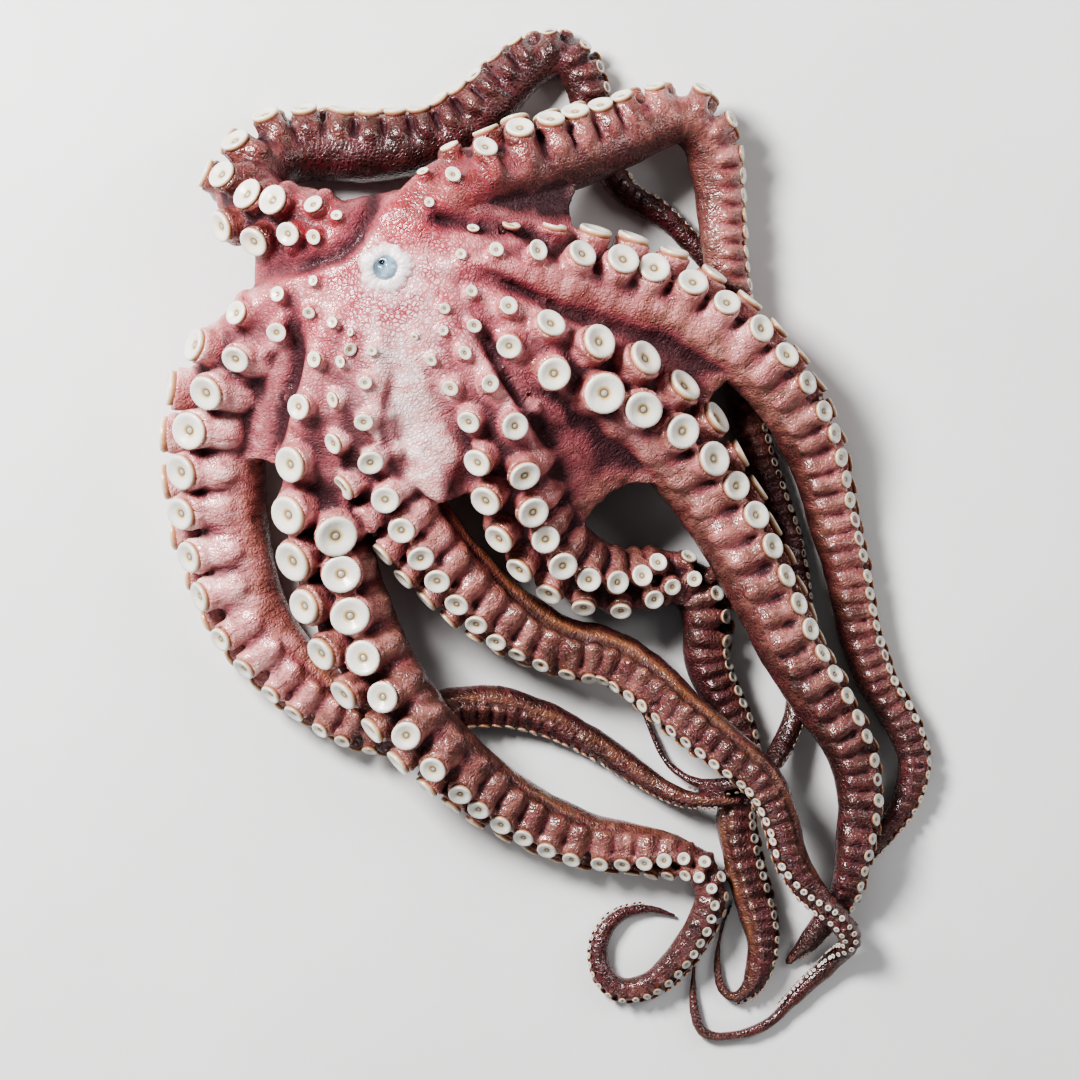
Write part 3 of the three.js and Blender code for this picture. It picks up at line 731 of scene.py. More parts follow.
def skin_material(colours):
    n = Nodes("wet_skin")
    place, flow = n.place(), n.read("flow", vector=True)
    tone, crease, near = n.read("tone"), n.read("crease"), n.read("near_mouth")
    blotch, fine = n.noise(34, 3, 0.6), n.noise(150, 4, 0.65)
    tangle = n.add("ShaderNodeTexNoise")
    tangle.inputs["Scale"].default_value = 240
    n.link(place, tangle.inputs["Vector"])
    stir = n.vector("MULTIPLY", tangle.outputs["Color"], (0.0028, 0.0028, 0.0028))

    def round_the_arm(draw):
        """The skin's flow with its sideways scale shrunk, so that a pattern is drawn out round the arm."""
        return n.vector("MULTIPLY", flow, (1.0, draw, draw))

    # The skin's colour by tone, stirred by blotches, fine spots and mottling drawn out round the arm.
    mottle = n.noise(230, 4, 0.6, vector=n.vector("ADD", round_the_arm(0.4), stir))
    outer = n.span(near, 0.2, 0.8, 1.0, 0.35)
    wander = n.math("ADD", n.centred(blotch, 0.60), n.centred(fine, 0.44))
    wander = n.math("ADD", wander, n.math("MULTIPLY", n.centred(mottle, 0.76), outer))
    skin = n.ramp(n.math("ADD", tone, wander, clamp=True), SKIN_TONES)
    # Little polygons of skin, with a net of colour between them.
    cell = n.cells(560, vector=n.vector("ADD", place, stir))
    patchy = n.span(n.noise(85, 3, 0.6), 0.38, 0.62, 0.35, 1.0)
    net = n.math("MULTIPLY", n.span(cell, 0.02, 0.30, 1.0, 0.0), patchy)
    net = n.math("MULTIPLY", net, n.span(near, 0.0, 0.8, 0.24, 1.0))
    skin = n.mix(net, skin, tuple(colours.net))
    # Fine wrinkles round the arm, with painted shade at their bottoms, less red where the skin is brown.
    swell = n.noise(150, 3, 0.5, vector=n.vector("ADD", round_the_arm(0.2), stir))
    wrinkle = n.span(n.math("ABSOLUTE", n.math("SUBTRACT", swell, 0.5)), 0.0, 0.036, 1.0, 0.0)
    wrinkle = n.math("MULTIPLY", wrinkle, n.span(n.noise(70, 2, 0.5), 0.4, 0.6))
    ruddy = n.span(tone, 0.45, 0.80, 1.0, 0.35)
    wrinkle_shade = n.math("MULTIPLY", n.math("MULTIPLY", wrinkle, ruddy), n.span(near, 0.0, 0.6, 0.52, 0.15))
    skin = n.mix(wrinkle_shade, skin, tuple(colours.flush))
    # The rose of the upper arms and webs, with painted shade on the arms' backs and between the arms; painted
    # shade beside and deep in the folds; and thin brown edges on the outer arms.
    blush = n.math("MULTIPLY", n.read("flush"), n.span(n.noise(60, 4, 0.65), 0.36, 0.64, 0.45, 1.0))
    skin = n.mix(n.math("MULTIPLY", blush, 0.92), skin, tuple(colours.rose), "MULTIPLY")
    beside = n.math("MULTIPLY", n.span(crease, 0.03, 0.40, 0.0, 0.72), ruddy)
    skin = n.mix(beside, skin, tuple(colours.flush))
    # Painted shade deep in the folds, stronger where the skin is brown.
    deep = n.math("MULTIPLY", crease, n.span(tone, 0.5, 0.85, 1.0, 1.9))
    skin = n.mix(n.span(deep, 0.30, 0.95, 0.0, 0.92), skin, tuple(colours.fold_shade))
    rim = n.math("MULTIPLY", n.read("rim"), n.span(n.noise(90, 2, 0.5), 0.3, 0.6, 0.35, 0.9))
    skin = n.mix(rim, skin, tuple(colours.membrane))
    # Wet: a clear film over it, thin in the creases and broken by fine wrinkles round the arm.
    across = n.noise(880, 4, 0.62, vector=round_the_arm(0.32))
    pebble = n.span(cell, 0.0, 0.32)
    rough = n.span(n.noise(300, 3, 0.6), 0.3, 0.7, 0.24, 0.42)
    relief = n.bump(across, 0.00045, 0.75, n.bump(pebble, 0.00022, 0.9))
    return n.surface(
        {
            "Base Color": skin,
            "Roughness": n.math("MULTIPLY_ADD", crease, 0.4, rough, clamp=True),
            "Specular IOR Level": 0.55,
            "Coat Weight": n.span(crease, 0.08, 0.5, 0.65, 0.12),
            "Coat Roughness": 0.09,
            "Subsurface Weight": 0.06,
            "Subsurface Radius": (0.004, 0.0014, 0.0010),
            "Subsurface Scale": 1.0,
            "Normal": n.bump(n.math("SUBTRACT", 1.0, wrinkle), 0.0005, 0.6, relief),
            "Coat Normal": n.bump(across, 0.00012, 0.8, n.bump(pebble, 0.00010, 0.9)),
        }
    )


def sucker_material(colours):
    n = Nodes("sucker_cups")
    ring, tint = n.read("ring"), n.read("tint")
    cup = tuple(colours.cup)
    # From the middle of the hole to the underside of the rim.
    face = n.ramp(
        ring,
        [
            (0.0, srgb(196, 194, 188)),
            (0.10, srgb(176, 170, 158)),
            (0.16, srgb(118, 96, 70)),
            (0.26, srgb(204, 174, 126)),
            (0.38, srgb(232, 222, 202)),
            (0.50, cup),
            (0.84, cup),
            (0.90, srgb(222, 198, 160)),
            (0.95, srgb(190, 140, 108)),
            (1.0, srgb(152, 88, 82)),
        ],
    )
    blotch = n.noise(420, 3, 0.6)
    face = n.mix(n.span(blotch, 0.5, 0.85, 0.0, 0.25), face, srgb(206, 186, 166))
    # Further out the cups turn bluish inside and brown about the rim.
    inside = n.mix(n.math("MULTIPLY", tint, 0.9), face, (0.60, 0.68, 0.78), "MULTIPLY")
    rim = n.mix(n.math("MULTIPLY", tint, 0.85), face, srgb(154, 110, 90), "MULTIPLY")
    return n.surface(
        {
            "Base Color": n.mix(n.span(ring, 0.72, 0.93), inside, rim),
            "Roughness": n.span(blotch, 0.3, 0.7, 0.26, 0.42),
            "Coat Weight": 0.3,
            "Coat Roughness": 0.15,
            "Subsurface Weight": 0.08,
            "Subsurface Radius": (0.003, 0.002, 0.0015),
            "Subsurface Scale": 1.0,
            "Normal": n.bump(n.noise(900, 3, 0.6), 0.0003, 0.5),
        }
    )


def lip_material():
    n = Nodes("white_lips")
    base = n.ramp(n.noise(300, 4, 0.6), [(0.3, srgb(222, 196, 198)), (0.62, srgb(240, 230, 231))])
    # Painted shade in the pleats.
    base = n.mix(n.span(n.read("crease"), 0.1, 0.9, 0.0, 0.30), base, srgb(206, 160, 164))
    # Towards its outer edge the lip takes the colour and the net of the skin about it.
    skirt = n.math("ADD", n.read("skirt"), n.centred(n.noise(420, 3, 0.6), 0.7))
    line = n.span(n.cells(560), 0.03, 0.28, 1.0, 0.0)
    around = n.mix(n.math("MULTIPLY", line, 0.7), srgb(240, 222, 220), srgb(196, 118, 128))
    relief = n.bump(n.noise(800, 3, 0.6), 0.0006, 0.6)
    return n.surface(
        {
            "Base Color": n.mix(n.span(skirt, 0.35, 0.85), base, around),
            "Roughness": 0.34,
            "Coat Weight": 0.35,
            "Coat Roughness": 0.12,
            "Normal": relief,
            "Coat Normal": relief,
        }
    )


def horn_material(colours):
    n = Nodes("beak_horn")
    shade = n.read("shade")
    base = n.mix(n.span(n.noise(260, 4, 0.6), 0.35, 0.7), tuple(colours.horn), srgb(130, 156, 172))
    # Painted shade on one side of the dome and a painted highlight on the other.
    base = n.mix(n.span(shade, 0.40, 0.85, 0.0, 0.85), base, srgb(62, 78, 92))
    base = n.mix(n.span(shade, 0.0, 0.35, 0.6, 0.0), base, srgb(216, 228, 236))
    base = n.mix(n.span(n.read("slit"), 0.25, 0.8), base, srgb(12, 12, 16))
    return n.surface(
        {
            "Base Color": base,
            "Roughness": 0.22,
            "Coat Weight": 0.5,
            "Coat Roughness": 0.08,
            "Normal": n.bump(n.noise(500, 3, 0.6), 0.0002, 0.4),
        }
    )


def floor_material():
    n = Nodes("pale_floor")
    pale = n.ramp(n.noise(9, 4, 0.5), [(0.3, (0.74, 0.73, 0.72)), (0.7, (0.79, 0.78, 0.77))])
    return n.surface({"Base Color": pale, "Roughness": 0.65})


# ---- Flesh --------------------------------------------------------------------------------------
def ball(segments, rings, shape=None):
    """A unit ball, its every vertex moved by shape(x, y, z) where one is given."""
    deselect()
    bpy.ops.mesh.primitive_uv_sphere_add(segments=segments, ring_count=rings, radius=1)
    made = bpy.context.object
    if shape:
        for vertex in made.data.vertices:
            vertex.co = shape(*vertex.co)
    return made


def section_curve():
    """An arm's outline: a round back and a flat face towards +Y that the suckers stand on."""
    flat = 0.74  # distance of the flat face from the middle, in flesh radii
    edge = math.degrees(math.acos(flat))
    points = []
    for degrees in np.arange(0, 360, 9):
        angle = math.radians(degrees)
        away = abs((degrees + 180) % 360 - 180)
        reach = 1.0 if away > edge else flat / math.cos(math.radians(away))
        points.append((math.sin(angle) * reach, math.cos(angle) * reach))
    curve = bpy.data.curves.new("arm_section", "CURVE")
    curve.dimensions = "2D"
    line = curve.splines.new("POLY")
    line.points.add(len(points) - 1)
    for point, (x, y) in zip(line.points, reversed(points)):
        point.co = (x, y, 0, 1)
    line.use_cyclic_u = True
    return add_object("arm_section", curve)


def arm_flesh(name, arm, section):
    """The arm as a bevelled curve: its line, its thickness and its roll, made a mesh."""
    curve = bpy.data.curves.new(name, "CURVE")
    curve.dimensions = "3D"
    curve.twist_mode = "Z_UP"
    picks = [*range(0, len(arm.s) - 1, THINNED), len(arm.s) - 1]
    line = curve.splines.new("POLY")
    line.points.add(len(picks) - 1)
    for point, i in zip(line.points, picks):
        point.co = (*arm.centre[i], 1)
        point.radius = arm.radius[i]
        point.tilt = arm.roll[i]
    curve.bevel_mode = "OBJECT"
    curve.bevel_object = section
    curve.use_fill_caps = True
    pick(add_object(name, curve))
    bpy.ops.object.convert(target="MESH")
    return bpy.context.object


# A unit stalk's widths up its height; then, in sucker radii, how far off the arm's line its foot stands, how
# far under the cup's middle it ends, and its girth.
STALK_HEIGHTS = (0, 0.4, 0.7, 1)
STALK_WIDTHS = (1.36, 1.20, 1.04, 1.10)
STALK_FOOT = 0.75
STALK_TOP = 0.22
STALK_GIRTH = 0.98


def stalk_model():
    """A unit stalk, from z=0 at its foot to z=1 under its cup: broad below, a little narrower above."""
    deselect()
    bpy.ops.mesh.primitive_cylinder_add(vertices=16, radius=1.0, depth=1.0, location=(0, 0, 0.5))
    stalk = bpy.context.object
    bpy.ops.object.transform_apply(location=True)
    bpy.ops.object.mode_set(mode="EDIT")
    for cut in STALK_HEIGHTS[1:-1]:
        bpy.ops.mesh.select_all(action="SELECT")
        bpy.ops.mesh.bisect(plane_co=(0, 0, cut), plane_no=(0, 0, 1))
    bpy.ops.object.mode_set(mode="OBJECT")
    for vertex in stalk.data.vertices:
        width = np.interp(vertex.co.z, STALK_HEIGHTS, STALK_WIDTHS)
        vertex.co.x *= width
        vertex.co.y *= width
    return stalk


def stalk_flesh(places, suckers):
    """A stalk under every cup, and the ridge it throws down the flank."""
    stalk, knuckle = stalk_model(), ball(16, 10)
    stalks, knuckles = [], []
    for arm, i, side, radius in places:
        if radius < LEAST_STALK * MM:
            continue
        centre, facing, along, rng = sucker_frame(arm, i, side, radius, suckers)
        foot = Vector(arm.centre[i]) + Vector(arm.across[i]) * side * radius * STALK_FOOT
        top = centre - facing * radius * STALK_TOP
        stalks.append(leaning(foot, top, facing, along, radius * STALK_GIRTH))
        if arm.grown[i] < RIDGED_FROM:
            continue
        out = arm.outward(i, side * math.radians(rng.uniform(*arm.rib_angle)))
        seat = Vector(arm.centre[i]) + out * arm.radius[i] * (0.76 + 0.10 * arm.grown[i])
        drawn = np.interp(arm.s[i], (90, 200), (0.50, 0.84))
        thick = arm.ridge[i] * arm.rib * arm.radius[i] * rng.uniform(0.85, 1.1)
        knuckles.append(turned(seat, out, along, (drawn * arm.radius[i], 0.90 * radius, thick)))
    made = copies(stalk, stalks) + copies(knuckle, knuckles)
    bpy.data.objects.remove(stalk)
    bpy.data.objects.remove(knuckle)
    return join(made, "stalks")


def web_flesh(arms, first, second, reach_a, reach_b, bow, dip, thickness):
    """The skin between two arms: a grid laid from one arm's line to the other's, given its thickness."""
    rows, columns = 26, 28
    deselect()
    bpy.ops.mesh.primitive_grid_add(x_subdivisions=rows, y_subdivisions=columns, size=1)
    web = bpy.context.object
    a, b = arms[first], arms[second]
    for vertex in web.data.vertices:
        run, share = vertex.co.x + 0.5, vertex.co.y + 0.5
        arch = math.sin(math.pi * share)
        run *= 1 - (1 - bow) * arch
        i = a.at(WEB_START + (reach_a - WEB_START) * run)
        j = b.at(WEB_START + (reach_b - WEB_START) * run)
        vertex.co = Vector(a.centre[i]).lerp(Vector(b.centre[j]), share)
        lift = WEB_RISE * (a.radius[i] * (1 - share) + b.radius[j] * share)
        sag = max(0.0, 1.5 * run - 0.5)
        vertex.co.z += lift - dip * MM * arch * min(1.0, sag)
    apply_modifier(web, "SOLIDIFY", thickness=thickness, offset=0.0)
    return web


def mantle_flesh():
    """The bag of the mantle, pressed flat where it lies, a little narrower at its closed end."""

    def shape(x, y, z):
        taper = 1 - 0.16 * max(0.0, x)
        return x * MANTLE_HALF[0], y * MANTLE_HALF[1] * taper, z * MANTLE_HALF[2] * taper

    bag = ball(40, 24, shape)
    bag.data.transform(
        Matrix.Translation(MOUTH + Vector((*MANTLE_CENTRE, MANTLE_HALF[2] - MANTLE_SUNK)) * MM)
        @ Matrix.Rotation(math.radians(MANTLE_TURN), 4, "Z")
        @ Matrix.Scale(MM, 4)
    )
    for vertex in bag.data.vertices:
        vertex.co.z = max(vertex.co.z, MANTLE_LOW)
    return bag


def flap_flesh():
    """The pale tongue of skin that runs down from the mouth between the two lower arms."""

    def shape(x, y, z):
        wide = FLAP_HALF[0] * (1 + 0.25 * y - 0.75 * max(0.0, y) ** 3)
        return x * wide, y * FLAP_HALF[1], z * FLAP_HALF[2]

    flap = ball(32, 20, shape)
    run = Vector(FLAP_RUN).normalized()
    flap.data.transform(turned(MOUTH + Vector(FLAP_CENTRE) * MM, Vector((0, 0, 1)), run, (MM, MM, MM)))
    return flap


def crown_flesh():
    """The mound that the arms grow from, with a shallow dish on top for the lips."""

    def shape(x, y, z):
        if z > 0:
            dish = max(0.0, 1 - (math.hypot(x, y) / DISH_RADIUS) ** 2)
            height = CROWN_TOP - CROWN_RISE * MM * (1 - z) - DISH_DEPTH * MM * dish
        else:
            height = CROWN_TOP - CROWN_RISE * MM + CROWN_DEPTH * MM * z
        return x * CROWN_RADIUS * MM + MOUTH.x, y * CROWN_RADIUS * MM + MOUTH.y, height

    return ball(40, 24, shape)


FOLD_REACH = 7  # turns of smoothing against which a fold counts as a hollow
VALLEY_REACH = 60  # the same for a valley


def smooth_values(values, edges, count, turns):
    """Averages values with their neighbours over the mesh's edges."""
    degree = np.bincount(edges.ravel(), minlength=count)
    for _ in range(turns):
        total = np.bincount(edges[:, 0], values[edges[:, 1]], count)
        total += np.bincount(edges[:, 1], values[edges[:, 0]], count)
        values = 0.4 * values + 0.6 * total / np.maximum(degree, 1)
    return values


def hollowness(piece, reach):
    """How far each vertex lies below its surroundings, in millimetres: above 0 in folds, below on ridges."""
    co = vertices_of(piece)
    edges = np.empty(len(piece.data.edges) * 2, np.int64)
    piece.data.edges.foreach_get("vertices", edges)
    edges = edges.reshape(-1, 2)
    spread = np.stack([smooth_values(co[:, k], edges, len(co), reach) for k in range(3)], 1)
    depth = np.einsum("ij,ij->i", spread - co, normals_of(piece)) / MM
    return smooth_values(depth, edges, len(co), 3), edges


def nearest_arm(co, arms):
    """For each vertex: the arm sample it belongs to, by distance in flesh radii."""
    centres = np.vstack([arm.centre[::THINNED] for arm in arms])
    radii = np.concatenate([arm.radius[::THINNED] for arm in arms])
    best = np.empty(len(co), int)
    block = 4000  # vertices taken at a time, to spare memory
    for start in range(0, len(co), block):
        some = co[start : start + block]
        gap = np.sqrt(((some[:, None, :] - centres[None]) ** 2).sum(2)) / radii[None]
        best[start : start + block] = gap.argmin(1)
    return best


def arm_fit(co, arms):
    """Where each vertex lies on its nearest arm, and the arm's values there."""
    best = nearest_arm(co, arms)
    keys = (
        "centre", "radius", "facing", "across", "along", "tone", "s", "flushed_and_shaded", "seamed", "shade", "owner",
        "sucker", "grown", "flank_end",
    )
    fit = {key: np.concatenate([getattr(arm, key)[::THINNED] for arm in arms])[best] for key in keys}
    offset = co - fit["centre"]
    up, side, along = (np.einsum("ij,ij->i", offset, fit[key]) for key in ("facing", "across", "along"))
    fit["s"] = fit["s"] + along / MM
    fit["side"] = side
    fit["offset"] = offset
    fit["flow"] = np.stack([fit["s"] * MM, side, up], 1)
    fit["away"] = np.maximum(np.hypot(up, side), 1e-6)
    fit["angle"] = np.degrees(np.arccos(np.clip(up / fit["away"], -1, 1)))
    fit["seam"] = fit["seamed"] * rise(offset[:, 2], 0, 0.3 * fit["radius"])
    return fit


def fold_gap(co, line):
    """How far each vertex is from a fold's line, seen from above, and the share of the line passed there."""
    points = np.array(line, float) * MM + np.array(MOUTH)[:2]
    gap, share = np.full(len(co), math.inf), np.zeros(len(co))
    for k, (a, b) in enumerate(zip(points, points[1:])):
        way = b - a
        t = np.clip((co[:, :2] - a) @ way / (way @ way), 0, 1)
        far = np.linalg.norm(co[:, :2] - a - t[:, None] * way, axis=1)
        nearer = far < gap
        gap = np.where(nearer, far, gap)
        share = np.where(nearer, (k + t) / (len(points) - 1), share)
    return gap / MM, share


def press_folds(skin):
    """Presses the folds between the arms' bases into the skin; gives how far each vertex lies in them."""
    co, normals = vertices_of(skin), normals_of(skin)
    upper = np.clip(normals[:, 2] * 2 + 0.4, 0, 1) * rise(co[:, 2] / MM, 16, 8)
    folded, pressed = np.zeros(len(co)), np.zeros(len(co))
    for width, depth, line in FOLDS:
        gap, share = fold_gap(co, line)
        within = bell(gap, width) * rise(np.minimum(share, 1 - share), 0, 0.22) * upper
        folded = np.maximum(folded, within * min(1.0, depth / 3))
        pressed = np.maximum(pressed, within * depth * MM)
    move_vertices(skin, co - normals * pressed[:, None])
    return folded


def stalk_gaps(fit, arms, places):
    """How near each vertex lies to a line half-way between two stalks of a row, 0 to 1, on the flanks."""
    near = np.zeros(len(fit["s"]))
    width = np.maximum(LEAST_LINE * MM, 0.2 * fit["sucker"]) / MM
    for arm in arms.values():
        for side in (-1, 1):
            stalks = np.array([arm.s[i] for owner, i, row, _ in places if owner is arm and row == side])
            middles = (stalks[1:] + stalks[:-1]) / 2
            chosen = (fit["owner"] == arm.index) & (fit["side"] * side > 0)
            gap = np.abs(fit["s"][chosen, None] - middles[None]).min(1)
            near[chosen] = bell(gap, width[chosen])
    flank = rise(fit["angle"], 28, 12) * np.clip((fit["flank_end"] - fit["angle"]) / 24, 0, 1)
    grown = rise(fit["sucker"] / MM, 1.4, 1.4) * np.clip(fit["grown"] * 1.6 - 0.5, 0, 1)
    return near * flank * grown * (fit["away"] < 1.4 * fit["radius"])


def press_seams(skin, fit):
    """Presses the lines between stalks, and the groove beside the keel of some arms, whose lip it raises."""
    groove, lip = bell(fit["angle"] - SEAM_ANGLE, 7), bell(fit["angle"] - SEAM_ANGLE - 19, 8)
    depth = fit["seam"] * np.minimum(fit["radius"], 10 * MM) * (0.16 * groove - 0.05 * lip)
    depth += 0.08 * fit["radius"] * fit["gaps"]
    move_vertices(skin, vertices_of(skin) - fit["offset"] / fit["away"][:, None] * depth[:, None])
    keep_off_floor(skin)


def flap_place(co):
    """How far down the flap and how far across it each vertex lies, in metres."""
    run_x, run_y = np.array(FLAP_RUN[:2]) / np.hypot(*FLAP_RUN[:2])
    place = co[:, :2] - np.array(MOUTH)[:2] - np.array(FLAP_CENTRE)[:2] * MM
    return place @ (run_x, run_y), place @ (-run_y, run_x)


def crease_values(skin, co, fit, depth, hidden, spot, near):
    """How much painted shade each vertex gets: in the mesh's own hollows, the listed pools, the folds, stalk
    gaps and keels, and between the arms.
    """
    valley, _ = hollowness(skin, VALLEY_REACH)
    crease = rise(depth, 0, 0.36) * 0.75 + rise(valley, 0, 3.0) * 0.34
    crease *= (1 - 0.8 * spot) * (1 - 0.5 * near)
    for x, y, wide, long, strength in SHADE_POOLS:
        place = (co[:, :2] - np.array(MOUTH)[:2]) / MM - (x, y)
        pool = strength * np.exp(-((place[:, 0] / wide) ** 2) - (place[:, 1] / long) ** 2)
        crease = np.maximum(crease * (1 + np.minimum(pool, 0)), pool * np.clip(hidden * 1.5 + 0.25, 0, 1))
    crease = np.maximum(crease, np.maximum(1.3 * fit["fold"], 0.62 * fit["gaps"]))
    # Painted shade between the arms and in the groove beside the keel.
    return crease + 0.10 * hidden * (1 - spot) + 0.8 * fit["seam"] * bell(fit["angle"] - SEAM_ANGLE, 6)


def paint_skin(skin, fit):
    """The attributes the skin's material reads."""
    co = vertices_of(skin)
    depth, edges = hollowness(skin, FOLD_REACH)
    height = co[:, 2]
    spread, past = fit["away"] / fit["radius"], fit["angle"] - SEAM_ANGLE
    from_mouth = np.linalg.norm(co[:, :2] - np.array(MOUTH)[:2], axis=1) / MM
    # The skin on top about the mouth and about the lips, the skin between arms, and an arm's back; the last
    # two get painted shade.
    near = fade(from_mouth, 14, 60) * (height > 0.03)
    lips = fade(from_mouth, 9, 14) * (height > 0.05)
    hidden = rise(spread, 1.25, 0.8)
    shaded_back = np.clip((0.15 - np.cos(np.radians(fit["angle"]))) / 0.8, 0, 1)
    # The flap of skin between the two lower arms is the palest of all.
    down, sideways = flap_place(co)
    spot = np.exp(-((sideways / 0.0125) ** 4 + ((down + 0.004) / 0.036) ** 4)) * (height > 0.035)
    pale = spot * (0.78 - 0.34 * np.clip(down / 0.034, -0.5, 1))
    # Painted shade on an arm's back.
    tone = fit["tone"] + fit["shade"] * shaded_back
    # Painted shade away from the arms' lines and low by the floor.
    tone = tone + 0.10 * rise(spread, 1.5, 1.5) + 0.10 * fade(height, 0.004, 0.012)
    tone = tone * (1 - pale) * (1 - 0.75 * lips)
    crease = crease_values(skin, co, fit, depth, hidden, spot, near)
    # The rose flush, with painted shade added between the arms and on an arm's back.
    flush = np.maximum(fit["flushed_and_shaded"], 0.6 * hidden) + 0.35 * shaded_back * fade(fit["s"], 0, 260)
    rim = fit["seam"] * (bell(past - 17, 8) + 0.5 * bell(past + 13, 5))
    # Each attribute's values, and how many times they are smoothed over the mesh.
    for name, values, turns in (
        ("tone", tone, 12),
        ("crease", np.clip(crease, 0, 1), 1),
        ("flush", flush * (1 - spot), 8),
        ("rim", rim, 1),
    ):
        attribute(skin, name, np.clip(smooth_values(values, edges, len(co), turns), 0, 1))
    attribute(skin, "near_mouth", np.maximum(near * (1 - 0.65 * spot), 0.25 * spot))
    attribute(skin, "flow", fit["flow"], "FLOAT_VECTOR")


class OCTOPUS_OT_skin(bpy.types.Operator):
    """Model the flesh and skin as one body: the arms, stalks, webs, crown, flap and mantle"""

    bl_idname = "octopus.skin"
    bl_label = "Flesh and skin"

    def execute(self, context):
        body, suckers = context.scene.octopus_body, context.scene.octopus_suckers
        arms = all_arms()
        section = section_curve()
        parts = [arm_flesh(name, arm, section) for name, arm in arms.items()]
        bpy.data.objects.remove(section)
        places = sucker_places(arms, suckers)
        parts.append(stalk_flesh(places, suckers))
        parts += [web_flesh(arms, *web, body.web) for web in WEBS]
        parts += [mantle_flesh(), flap_flesh(), crown_flesh()]
        skin = join(parts, "skin")
        apply_modifier(skin, "REMESH", mode="VOXEL", voxel_size=body.voxel, adaptivity=0.0)
        apply_modifier(skin, "SMOOTH", factor=0.5, iterations=3)
        clouds = bpy.data.textures.new("lumps", "CLOUDS")
        clouds.noise_scale = LUMP_SIZE * MM
        clouds.noise_depth = 2
        apply_modifier(
            skin, "DISPLACE", texture=clouds, texture_coords="LOCAL", strength=body.lump * 2, mid_level=0.5
        )
        keep_off_floor(skin)
        triangles = sum(len(face.vertices) - 2 for face in skin.data.polygons)
        if not triangles:
            raise RuntimeError("the flesh did not fuse into one body")
        if triangles > body.faces:
            apply_modifier(skin, "DECIMATE", ratio=body.faces / triangles, use_collapse_triangulate=True)
        keep_largest(skin)
        fit = arm_fit(vertices_of(skin), list(arms.values()))
        fit["gaps"] = stalk_gaps(fit, arms, places)
        press_seams(skin, fit)
        fit["fold"] = press_folds(skin)
        paint_skin(skin, fit)
        finish_piece(skin, "skin", "octopus", skin_material(context.scene.octopus_colours))
        return {"FINISHED"}


def keep_largest(piece):
    """Drops what isn't joined to the body, such as a pocket shut in under the crown."""
    pick(piece)
    bpy.ops.object.mode_set(mode="EDIT")
    bpy.ops.mesh.select_all(action="SELECT")
    bpy.ops.mesh.separate(type="LOOSE")
    bpy.ops.object.mode_set(mode="OBJECT")
    shells = sorted(bpy.context.selected_objects, key=lambda o: len(o.data.vertices))
    for shell in shells:
        if shell is not shells[-1] and shell is not piece:
            bpy.data.objects.remove(shell)
    if shells[-1] is not piece:
        piece.data = shells[-1].data
        bpy.data.objects.remove(shells[-1])


# ---- Suckers ------------------------------------------------------------------------------------
LIFT_WITHIN = 70  # cups less than this far along their arm, in millimetres, are lifted clear of the flesh
LOOK_FROM = 0.02  # how far over a cup, in metres, the flesh under it is looked for
SEATED = 0.16  # how far a lifted cup's middle stands over the flesh, in its radii
CUP_FACE = -0.04  # the faces above this height, in cup radii, are a cup's face
COVERED_SIDES = 2  # a cup is left out when flesh covers more of its eight sides than this

# A cup in section, from under its rim to the middle of its hole: [radius, height, ring] in cup radii. Ring
# is the place on the cup's face that the material colours.
CUP_LARGE = [
    (0.86, -0.36, 1.0), (0.95, -0.22, 0.97), (1.0, -0.08, 0.93), (1.0, 0.04, 0.87), (0.95, 0.12, 0.81),
    (0.84, 0.14, 0.72), (0.68, 0.08, 0.60), (0.52, 0.01, 0.48), (0.38, -0.04, 0.36), (0.28, -0.07, 0.27),
    (0.20, -0.12, 0.18), (0.14, -0.08, 0.11), (0.0, -0.06, 0.0),
]
CUP_SMALL = [
    (0.86, -0.36, 1.0), (0.98, -0.08, 0.95), (1.0, 0.06, 0.90), (0.88, 0.13, 0.76), (0.56, -0.02, 0.48),
    (0.32, -0.06, 0.29), (0.19, -0.10, 0.15), (0.0, -0.14, 0.0),
]
CUP_BEAD = [
    (0.86, -0.40, 1.0), (1.0, 0.0, 0.90), (0.78, 0.12, 0.60), (0.30, -0.04, 0.22), (0.0, -0.12, 0.05),
]

# The sets of cups: name, section, sides, and the radii from which and up to which they are used, in metres.
CUP_SETS = [
    ("large_cups", CUP_LARGE, 20, 0.0042, 1.0),
    ("middle_cups", CUP_SMALL, 14, 0.0019, 0.0042),
    ("bead_cups", CUP_BEAD, 9, 0.0, 0.0019),
]


def cup_model(profile, sides):
    """A closed cup about +Z: a circle, extruded and scaled ring by ring to the middle of the hole."""
    deselect()
    bpy.ops.mesh.primitive_circle_add(vertices=sides, radius=profile[0][0], location=(0, 0, profile[0][1]))
    cup = bpy.context.object
    bpy.ops.object.transform_apply(location=True)
    bpy.ops.object.mode_set(mode="EDIT")
    bpy.ops.mesh.select_all(action="SELECT")
    for (radius, height, _), (wider, higher, _) in zip(profile, profile[1:]):
        size = max(wider, 1e-4) / radius
        bpy.ops.mesh.extrude_region_move(TRANSFORM_OT_translate={"value": (0, 0, higher - height)})
        bpy.ops.transform.resize(value=(size, size, 1), center_override=(0, 0, higher))
    bpy.ops.mesh.merge(type="CENTER")
    bpy.ops.mesh.select_all(action="DESELECT")
    bpy.ops.mesh.select_non_manifold()
    bpy.ops.mesh.edge_face_add()
    bpy.ops.mesh.select_all(action="SELECT")
    bpy.ops.mesh.normals_make_consistent(inside=False)
    bpy.ops.object.mode_set(mode="OBJECT")
    rings = []
    for vertex in cup.data.vertices:
        out, height = math.hypot(vertex.co.x, vertex.co.y), vertex.co.z
        rings.append(min(profile, key=lambda row: abs(out - row[0]) + abs(height - row[1]))[2])
    attribute(cup, "ring", rings)
    normals_out(cup)
    return cup


